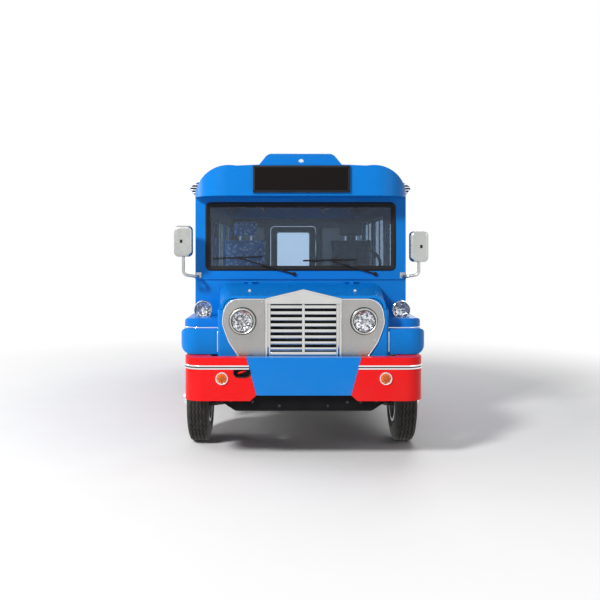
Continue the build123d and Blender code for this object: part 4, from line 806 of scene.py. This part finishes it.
def markers(low, high, half_y, half_z, ease):
    """Blocks along both sides, from one distance off the skin to another."""
    return both(*[box((SIDE_X + low, y - half_y, MARKER_Z - half_z),
                      (SIDE_X + high, y + half_y, MARKER_Z + half_z), ease) for y in MARKER_Y])


piece("side_markers", markers(0.003, 0.014, 0.045, 0.017, 0.005), "signal_amber")
piece("side_marker_bases", markers(0.0, 0.005, 0.052, 0.023, 0.002), "trim_black")
flap = slab("x", rounded(1.87, 2.07, 0.96, 1.14, 0.03), SIDE_X, SIDE_X + 0.004, 0.0015)
piece("filler_flap", flap, "side_paint")
latch = [(0.004, 0.016), (0.009, 0.015), (0.011, 0.0)]
piece("filler_latch", lathe("x", (1.91, 1.05), latch, 24, SIDE_X), "lamp_chrome")


def pull_handle(axis, stops, skin_at, out):
    """Bar handle between two in-plane points, on feet, standing out from a skin."""
    first, last = stops
    bar = [(first, 0), (first, out), (last, out), (last, 0)]
    grip = tube([to3(axis, *stop, skin_at + away) for stop, away in bar], 0.008, 10)
    foot = [(0.0, 0.018), (0.004, 0.018), (0.008, 0.012), (0.008, 0.0)]
    return merge(grip, *[lathe(axis, stop, foot, 20, skin_at) for stop in stops])


for door, *grip in (("driver_door", "x", [(-0.83, 1.225), (-0.83, 1.375)], SIDE_X, 0.032),
                    ("rear_door", "y", [(-0.325, 1.28), (-0.195, 1.28)], BACK_Y, 0.034)):
    piece(f"{door}_handle", pull_handle(*grip), "lamp_chrome", body=door)

# Rear: tail lamps in three lenses, blank plate, roof marker lamps
base = slab("y", rounded(0.78, 0.9, 0.84, 1.12, 0.024), BACK_Y, BACK_Y + 0.014, 0.003)
piece("tail_bases", both(base), "trim_black", stands_for=("tail_lamps",))
# Material, slot, low and high edge of each lens
TAIL_ROWS = (("tail_red", "tail_red", 1.02, 1.11), ("signal_amber", "signal_amber", 0.935, 1.012),
             ("clear_lens", "tinted_glass", 0.85, 0.927))
for material, slot, low, high in TAIL_ROWS:
    lens = slab("y", rounded(0.79, 0.89, low, high, 0.014), BACK_Y + 0.0135, BACK_Y + 0.033, 0.006)
    piece(f"tail_{material}", both(lens), material)
backing = slab("y", rounded(0.796, 0.884, 0.856, 0.921, 0.01), BACK_Y + 0.0137, BACK_Y + 0.016, 0.001)
piece("tail_reflectors", both(backing), "lamp_chrome")
number_plate = slab("y", rounded(0.44, 0.73, 0.87, 1.0, 0.01), BACK_Y, BACK_Y + 0.006, 0.002)
piece("blank_plate", number_plate, "plate_white")
lamp_dome = [(0.0, 0.035), (0.014, 0.034), (0.022, 0.024), (0.025, 0.0)]
lamps = [lathe("y", (x, 2.36), lamp_dome, 28, BACK_Y) for x in (-0.78, 0.78)]
piece("roof_rear_lamps", merge(*lamps), "tail_red")

# Brow: framed dot-matrix window without text; lamp on the roof pod
SIGN_X, SIGN_LOW, SIGN_HIGH, SIGN_Y, SIGN_RIM = 0.445, 2.282, 2.528, BROW_Y - 0.022, 0.021
bezel = [(0.0, -0.004), (0.0, 0.002), (0.003, 0.004), (0.017, 0.004), (0.02, 0.0), (0.02, -0.004)]
sign_edge = rounded(-SIGN_X, SIGN_X, SIGN_LOW, SIGN_HIGH, 0.006, 3)
piece("sign_bezel", rim_frame("y", sign_edge, bezel, SIGN_Y, FORWARD), "trim_black",
      sharp=40)
sign_x, low, high = SIGN_X - SIGN_RIM, SIGN_LOW + SIGN_RIM, SIGN_HIGH - SIGN_RIM
screen = [(-sign_x, low), (sign_x, low), (sign_x, high), (-sign_x, high)]
piece("sign_dots", slab("y", screen, SIGN_Y - 0.0012, SIGN_Y), "display_dots")
pod_lamp = [(-1.915, 0.024), (-1.926, 0.024), (-1.93, 0.019), (-1.937, 0.013), (-1.939, 0.0)]
piece("pod_lamp", lathe("y", (0.006, 2.606), pod_lamp, 24), "lamp_chrome")

# Fenders and hood: bright beads at the crown's foot and beside the nose, washer nozzles
FENDER_Y, CROWN_X, CROWN_Y, CROWN_R, BEAD_Z = FRONT_Y + 0.18, 1.023, FRONT_Y + 0.295, 0.14, 1.0905
bead = [(0.716, CROWN_Y, BEAD_Z), (CROWN_X - CROWN_R, CROWN_Y, BEAD_Z)]
bead += level_bend(CROWN_X, CROWN_Y, BEAD_Z, CROWN_R, 10) + [(CROWN_X, COWL_Y - 0.01, BEAD_Z)]
foot = [(FENDER_Y - 0.001, 0.9), (FENDER_Y - 0.001, 1.06), (FENDER_Y + 0.02, 1.088), (CROWN_Y, BEAD_Z)]
foot = tube([(0.718, y, z) for y, z in foot], 0.005, 10)
piece("fender_beads", both(sweep(bead, disc_section(0.006), UP), foot), "lamp_chrome", sharp=60)
NOZZLE_X, NOZZLE_Y = 0.46, -2.6
nozzle = [(1.392, 0.017), (1.397, 0.017), (1.4, 0.013), (1.407, 0.009), (1.409, 0.0)]
jets = [tube([(NOZZLE_X + 0.008 * sign, NOZZLE_Y, 1.404), (NOZZLE_X + 0.012 * sign, NOZZLE_Y + 0.015, 1.406)],
             0.0035, 8) for sign in (-1, 1)]
nozzles = both(lathe("z", (NOZZLE_X, NOZZLE_Y), nozzle, 20), *jets)
piece("washer_nozzles", nozzles, "lamp_chrome", body="hood")

# Mirrors: silvered glass in the rear face of each housing; housing bottoms differ by side
MIRROR_X, MIRROR_Y, CLAMP_X = (1.025, 1.169), FRONT_Y + 0.9, 1.112
for side, sign, low in (("right", -1, 1.69), ("left", 1, 1.641)):
    span = sorted(sign * x for x in MIRROR_X)
    edge = rounded(*span, low + 0.014, low + 0.277, 0.034)
    face = slab("y", edge, MIRROR_Y + 0.0415, MIRROR_Y + 0.0435, 0.0008)
    piece(f"mirror_glass_{side}", face, "mirror_glass")
    clamp = box((sign * CLAMP_X - 0.012, MIRROR_Y - 0.0445, low + 0.13),
                (sign * CLAMP_X + 0.012, MIRROR_Y - 0.041, low + 0.16), 0.0015)
    piece(f"mirror_clamp_{side}", clamp, "trim_black")

# Wipers: domed pivot, cranked arm, blade with its carrier
WIPER_Z, WIPER_OUT = 1.526, 0.026
WIPER_Y = COWL_Y - WIPER_OUT
PIVOT = [(0.0, 0.019), (0.02, 0.019), (WIPER_OUT, 0.012), (WIPER_OUT, 0.0)]
CARRIER = [(-0.004, -0.008), (0.004, -0.008), (0.008, 0.002), (0.004, 0.006), (-0.004, 0.006),
           (-0.008, 0.002)]
wipers = []
for pivot, left, right in ((-0.063, (-0.838, 1.672), (-0.369, 1.69)), (0.712, (0.023, 1.652), (0.53, 1.664))):
    wipers.append(lathe("y", (pivot, WIPER_Z), PIVOT, 20, COWL_Y, -1))
    mid = [(a + b) / 2 for a, b in zip(left, right)]
    elbow = [a + (b - a) * 0.3 for a, b in zip((pivot, WIPER_Z), mid)]
    arm = [to3("y", pivot, WIPER_Z, WIPER_Y + 0.006), to3("y", *elbow, WIPER_Y + 0.004),
           to3("y", *mid, WIPER_Y + 0.006)]
    wipers.append(sweep(arm, disc_section(0.0075, 8, 0.5), FORWARD))
    blade = [to3("y", *end, WIPER_Y + 0.016) for end in (left, right)]
    wipers.append(sweep(blade, CARRIER, FORWARD))
    for share in (0.2, 0.5, 0.8):
        x, z = [a + (b - a) * share for a, b in zip(left, right)]
        wipers.append(box((x - 0.02, WIPER_Y + 0.004, z - 0.009), (x + 0.02, WIPER_Y + 0.012, z + 0.009),
                          0.002))
piece("wiper_sets", merge(*wipers), "trim_black", stands_for=("wipers",))


# Cabin: stuffed seats and benches, dials on the dashboard
PAD_PRESSURE, PAD_FRAMES, PAD_INSET, PAD_EASE = 4.0, 20, 0.004, 0.012


def evaluated(obj):
    """Mesh of an object with its modifiers applied."""
    return bpy.data.meshes.new_from_object(obj.evaluated_get(bpy.context.evaluated_depsgraph_get()))


def swell(low, high, thin, cap, voxel):
    """Pad in a box: a block that starts thinner along axis `thin`, is blown up as cloth and smoothed once."""
    inset = [cap if k == thin else PAD_INSET for k in range(3)]
    verts, faces = box([a + d for a, d in zip(low, inset)], [b - d for b, d in zip(high, inset)], PAD_EASE)
    mesh = bpy.data.meshes.new("pad")
    mesh.from_pydata(verts, [], faces)
    pad = bpy.data.objects.new("pad", mesh)
    scene.collection.objects.link(pad)
    grid = pad.modifiers.new("grid", "REMESH")
    grid.mode, grid.voxel_size = "VOXEL", voxel
    pad.data = evaluated(pad)
    pad.modifiers.clear()
    stuffing = pad.modifiers.new("cloth", "CLOTH").settings
    stuffing.use_pressure, stuffing.uniform_pressure_force = True, PAD_PRESSURE
    stuffing.effector_weights.gravity = 0
    for step in range(1, PAD_FRAMES + 1):
        scene.frame_set(step)
    for vert, blown in zip(pad.data.vertices, evaluated(pad).vertices):
        move = blown.co - vert.co
        vert.co += move * min(1.0, cap / max(move.length, 1e-9))
    pad.modifiers.clear()
    scene.frame_set(1)
    pad.modifiers.new("smooth", "SUBSURF").levels = 1
    smooth = evaluated(pad)
    bpy.data.objects.remove(pad)
    return [tuple(v.co) for v in smooth.vertices], [list(face.vertices) for face in smooth.polygons]


def sewn(low, high, thin, across, count, depth, cap, voxel):
    """Swollen pad with sewn channels on both faces, which lie across one axis and fade out at the rims."""
    swollen, faces = swell(low, high, thin, cap, voxel)
    rim = 3 - thin - across
    middle = (low[thin] + high[thin]) / 2
    verts = []
    for point in map(list, swollen):
        share = [(point[k] - low[k]) / (high[k] - low[k]) for k in range(3)]
        groove = 1 - abs(sin(pi * count * share[across])) ** 0.4
        inside = min(share[rim], 1 - share[rim], share[across], 1 - share[across])
        reach = min(1.0, max(0.0, 6 * inside - 0.4))
        high_up = min(1.0, abs(point[thin] - middle) / (0.3 * (high[thin] - low[thin])))
        point[thin] -= copysign(depth * groove * reach * high_up, point[thin] - middle)
        verts.append(tuple(point))
    return verts, faces


def pad_piece(name, mesh, cover, stands_for=()):
    piece(name, mesh, cover, sharp=70, stands_for=stands_for)


SEAT_X, SEAT_HALF, SEAT_Y, BACK_FACE_Y = 0.575, 0.24, (-1.33, -0.845), -0.965
SEAT_Z, BACK_Z = (1.235, 1.352), (1.3, 1.882)
# Channels, their depth, swelling, voxel size
SEAT_SEWING, BENCH_SEWING = (5, 0.009, 0.02, 0.012), (4, 0.006, 0.016, 0.018)
for side, x, cover in (("driver", SEAT_X, "seat_vinyl"), ("guide", -SEAT_X, "seat_cloth")):
    x0, x1 = x - SEAT_HALF, x + SEAT_HALF
    pad = sewn((x0, SEAT_Y[0], SEAT_Z[0]), (x1, BACK_FACE_Y, SEAT_Z[1]), 2, 1, *SEAT_SEWING)
    pad_piece(f"{side}_cushion", pad, cover, stands_for=("front_seats",))
    pad = sewn((x0, BACK_FACE_Y, BACK_Z[0]), (x1, SEAT_Y[1], BACK_Z[1]), 1, 0, *SEAT_SEWING)
    pad_piece(f"{side}_back", pad, cover)
    pad = swell((x - 0.13, -0.948, 1.905), (x + 0.13, -0.852, 2.067), 1, 0.015, SEAT_SEWING[-1])
    pad_piece(f"{side}_headrest", pad, cover)
    stalks = [tube([(x + dx, -0.9, 1.86), (x + dx, -0.9, 1.93)], 0.008) for dx in (-0.06, 0.06)]
    piece(f"{side}_stalks", merge(*stalks), "lamp_chrome")
    pedestal = merge(box((x - 0.18, -1.25, FLOOR_Z + 0.0005), (x + 0.18, -0.905, 1.215), 0.012),
                     box((x - 0.2, -1.29, 1.212), (x + 0.2, -0.88, 1.245), 0.006))
    piece(f"{side}_pedestal", pedestal, "trim_black")

BENCH_IN, BENCH_PAD, BENCH_OUT, BENCH_END, PAD_GAP = 0.53, 0.89, 0.959, 2.904, 0.002
for side, start, count in (("left", -0.54, 6), ("right", 0.32, 5)):
    turn, width = SIDES[side], (BENCH_END - start) / count
    first, last = start + PAD_GAP, start + width - PAD_GAP
    seat = sewn((BENCH_IN, first, 1.288), (BENCH_PAD, last, 1.377), 2, 1, *BENCH_SEWING)
    pad = swell((BENCH_PAD, first, 1.3), (BENCH_OUT, last, 1.431), 0, 0.012, BENCH_SEWING[-1])
    for part, (verts, faces), stands_for in (("seats", seat, ("benches",)), ("backs", pad, ())):
        row = [([(x, y + i * width, z) for x, y, z in verts], faces) for i in range(count)]
        pad_piece(f"bench_{part}_{side}", turn(merge(*row)), "bench_vinyl", stands_for=stands_for)
    front = merge(box((BENCH_IN + 0.05, start, FLOOR_Z + 0.0005), (BENCH_IN + 0.075, BENCH_END, 1.27), 0.002),
                  box((BENCH_IN + 0.01, start, 1.262), (BENCH_OUT, BENCH_END, 1.293), 0.003))
    piece(f"bench_base_{side}", turn(front), "bench_panel")
    rail = tube([(BENCH_IN + 0.04, y, 0.98) for y in (start + 0.02, BENCH_END - 0.02)], 0.01)
    piece(f"bench_rail_{side}", turn(rail), "rail_steel")

DASH_TOP, HOOD_TOP, DIAL_Y = 1.44, 1.545, -1.7145
binnacle = corners([(0.37, DASH_TOP - 0.004, 0), (0.78, DASH_TOP - 0.004, 0), (0.75, HOOD_TOP, 0.05),
                    (0.4, HOOD_TOP, 0.05)])
piece("binnacle", slab("y", binnacle, -1.88, -1.715, 0.006), "trim_black")
dials, rims = [], []
for x, z, radius in ((0.49, 1.492, 0.042), (0.66, 1.492, 0.042), (0.575, 1.47, 0.024)):
    dials.append(lathe("y", (x, z), [(0.0, radius), (0.001, radius), (0.001, 0.0)], 32, DIAL_Y))
    rim = [(-0.0015, 0.006), (0.0055, 0.006), (0.0075, 0.002), (0.0045, -0.002), (0.0005, -0.002)]
    rims.append(lathe("y", (x, z), [(out, radius + wide) for out, wide in rim], 32, DIAL_Y))
    needle_y = DIAL_Y + 0.0025
    rims.append(tube([(x, needle_y, z), (x - radius * 0.55, needle_y, z + radius * 0.5)], 0.0015, 6))
piece("dial_faces", merge(*dials), "display_black")
piece("dial_rims", merge(*rims), "lamp_chrome")


# Roof seams across the crown, bars of the sliding windows, step treads with bright edges
def arc(first, middle, last, steps):
    """Points of the circle through three (x, z) points, from the first to the last."""
    (ax, az), (bx, bz), (cx, cz) = first, middle, last
    a, b, c = ax * ax + az * az, bx * bx + bz * bz, cx * cx + cz * cz
    twice = 2 * (ax * (bz - cz) + bx * (cz - az) + cx * (az - bz))
    x = (a * (bz - cz) + b * (cz - az) + c * (az - bz)) / twice
    z = (a * (cx - bx) + b * (ax - cx) + c * (bx - ax)) / twice
    radius, start, stop = hypot(ax - x, az - z), atan2(az - z, ax - x), atan2(cz - z, cx - x)
    turns = [start + (stop - start) * i / steps for i in range(steps + 1)]
    return [(x + radius * cos(t), z + radius * sin(t)) for t in turns]


SEAM_FOOT_Z, SEAM_Y = 2.445, (-0.15, 0.55, 1.25, 1.95, 2.65)
bend = (SHOULDER_X + (SIDE_X - SHOULDER_X) * sqrt(0.5), ROOF_SIDE_Z + (SHOULDER_Z - ROOF_SIDE_Z) * sqrt(0.5))
shoulder = arc((SIDE_X, ROOF_SIDE_Z), bend, (SHOULDER_X, SHOULDER_Z), 16)
shoulder = [point for point in shoulder if point[1] > SEAM_FOOT_Z]
crown = arc((SHOULDER_X, SHOULDER_Z), (0.0, CROWN_Z), (-SHOULDER_X, SHOULDER_Z), 12)
roof_line = shoulder + crown[1:-1] + [(-x, z) for x, z in reversed(shoulder)]
seams = [sweep([(x, y, z) for x, z in roof_line], disc_section(0.005, 8), (0, 1, 0)) for y in SEAM_Y]
piece("roof_seams", merge(*seams), "eave_paint", sharp=60)
for side, turn in SIDES.items():
    wide = [(a + b) / 2 for a, b in BAYS[side] if b - a > 0.6]
    bars = [box((SIDE_X - 0.026, y - 0.013, SILL_Z + 0.012), (SIDE_X - 0.007, y + 0.013, HEAD_Z - 0.012),
                0.003) for y in wide]
    piece(f"window_bars_{side}", turn(merge(*bars)), "trim_black")
WELL_Y, STEP_Z = (-0.585, 0.145), (0.56, 0.72)
treads = [box((x0, WELL_Y[0], z + 0.0005), (x1, WELL_Y[1], z + 0.004), 0.001)
          for x0, x1, z in ((-0.954, -0.838, STEP_Z[0]), (-0.81, -0.665, STEP_Z[1]))]
piece("step_treads", merge(*treads), "floor_cover")
edges = [box((x - 0.004, WELL_Y[0], z - 0.004), (x + 0.02, WELL_Y[1], z + 0.0045), 0.001)
         for x, z in ((-0.834, STEP_Z[1]), (-0.66, FLOOR_Z))]
piece("step_edges", merge(*edges), "rail_steel")


# Stage: pale floor, soft studio lamps, white surroundings
def background_rays(g, share):
    """1 on rays that come off metal or through glass, and a share of it on the camera's own."""
    path = g.add("ShaderNodeLightPath").outputs
    seen = g.math("MULTIPLY", share, path["Is Camera Ray"])
    return g.math("MAXIMUM", g.math("MAXIMUM", path["Is Glossy Ray"], path["Is Transmission Ray"]), seen)


def stage_floor(size=40):
    mesh = bpy.data.meshes.new("floor_sheet")
    sheet = [(-size, -size, 0), (size, -size, 0), (size, size, 0), (-size, size, 0)]
    mesh.from_pydata(sheet, [], [(0, 1, 2, 3)])
    obj = bpy.data.objects.new("floor_sheet", mesh)
    scene.collection.objects.link(obj)
    g = Graph(bpy.data.materials.new("floor_sheet"))
    pale = g.mix(g.span(g.noise(2), 0, 1), *tones((0.86, 0.86, 0.86), 0.01))
    g.set(g.shader, Base_Color=pale, Roughness=0.7)
    white = g.set(g.add("ShaderNodeEmission"), Strength=1.0)
    away = g.add("ShaderNodeVectorMath", operation="LENGTH")
    g.feed(away.inputs[0], g.place)
    far = g.span(away.outputs["Value"], 0, 1, 3.2, 6.5)
    g.choose(background_rays(g, far), g.shader, white, "Material Output")
    mesh.materials.append(g.owner)


def lamp(name, place, aim, size, power):
    data = bpy.data.lights.new(name, "AREA")
    data.energy, data.size = power, size
    obj = bpy.data.objects.new(name, data)
    obj.location = place
    obj.rotation_euler = (Vector(aim) - Vector(place)).to_track_quat("-Z", "Y").to_euler()
    scene.collection.objects.link(obj)


stage_floor()
lamp("key", (-5.5, -9.0, 7.0), (0, -1.5, 1.2), 1.6, 980)
lamp("fill", (7.0, -7.0, 4.5), (0, -1.0, 1.2), 5.0, 60)
lamp("back", (3.0, 9.0, 7.0), (0, 1.0, 1.2), 6.0, 450)
lamp("side", (-9.0, 2.0, 5.0), (0, 1.0, 1.2), 5.0, 320)

scene.world = bpy.data.worlds.new("world")
sky = Graph(scene.world)
WHITE = (1, 1, 1, 1)
sky.set(sky.shader, Color=WHITE, Strength=0.24)
plain = sky.set(sky.add("ShaderNodeBackground"), Color=WHITE, Strength=1.0)
sky.choose(background_rays(sky, 1.0), sky.shader, plain, "World Output")
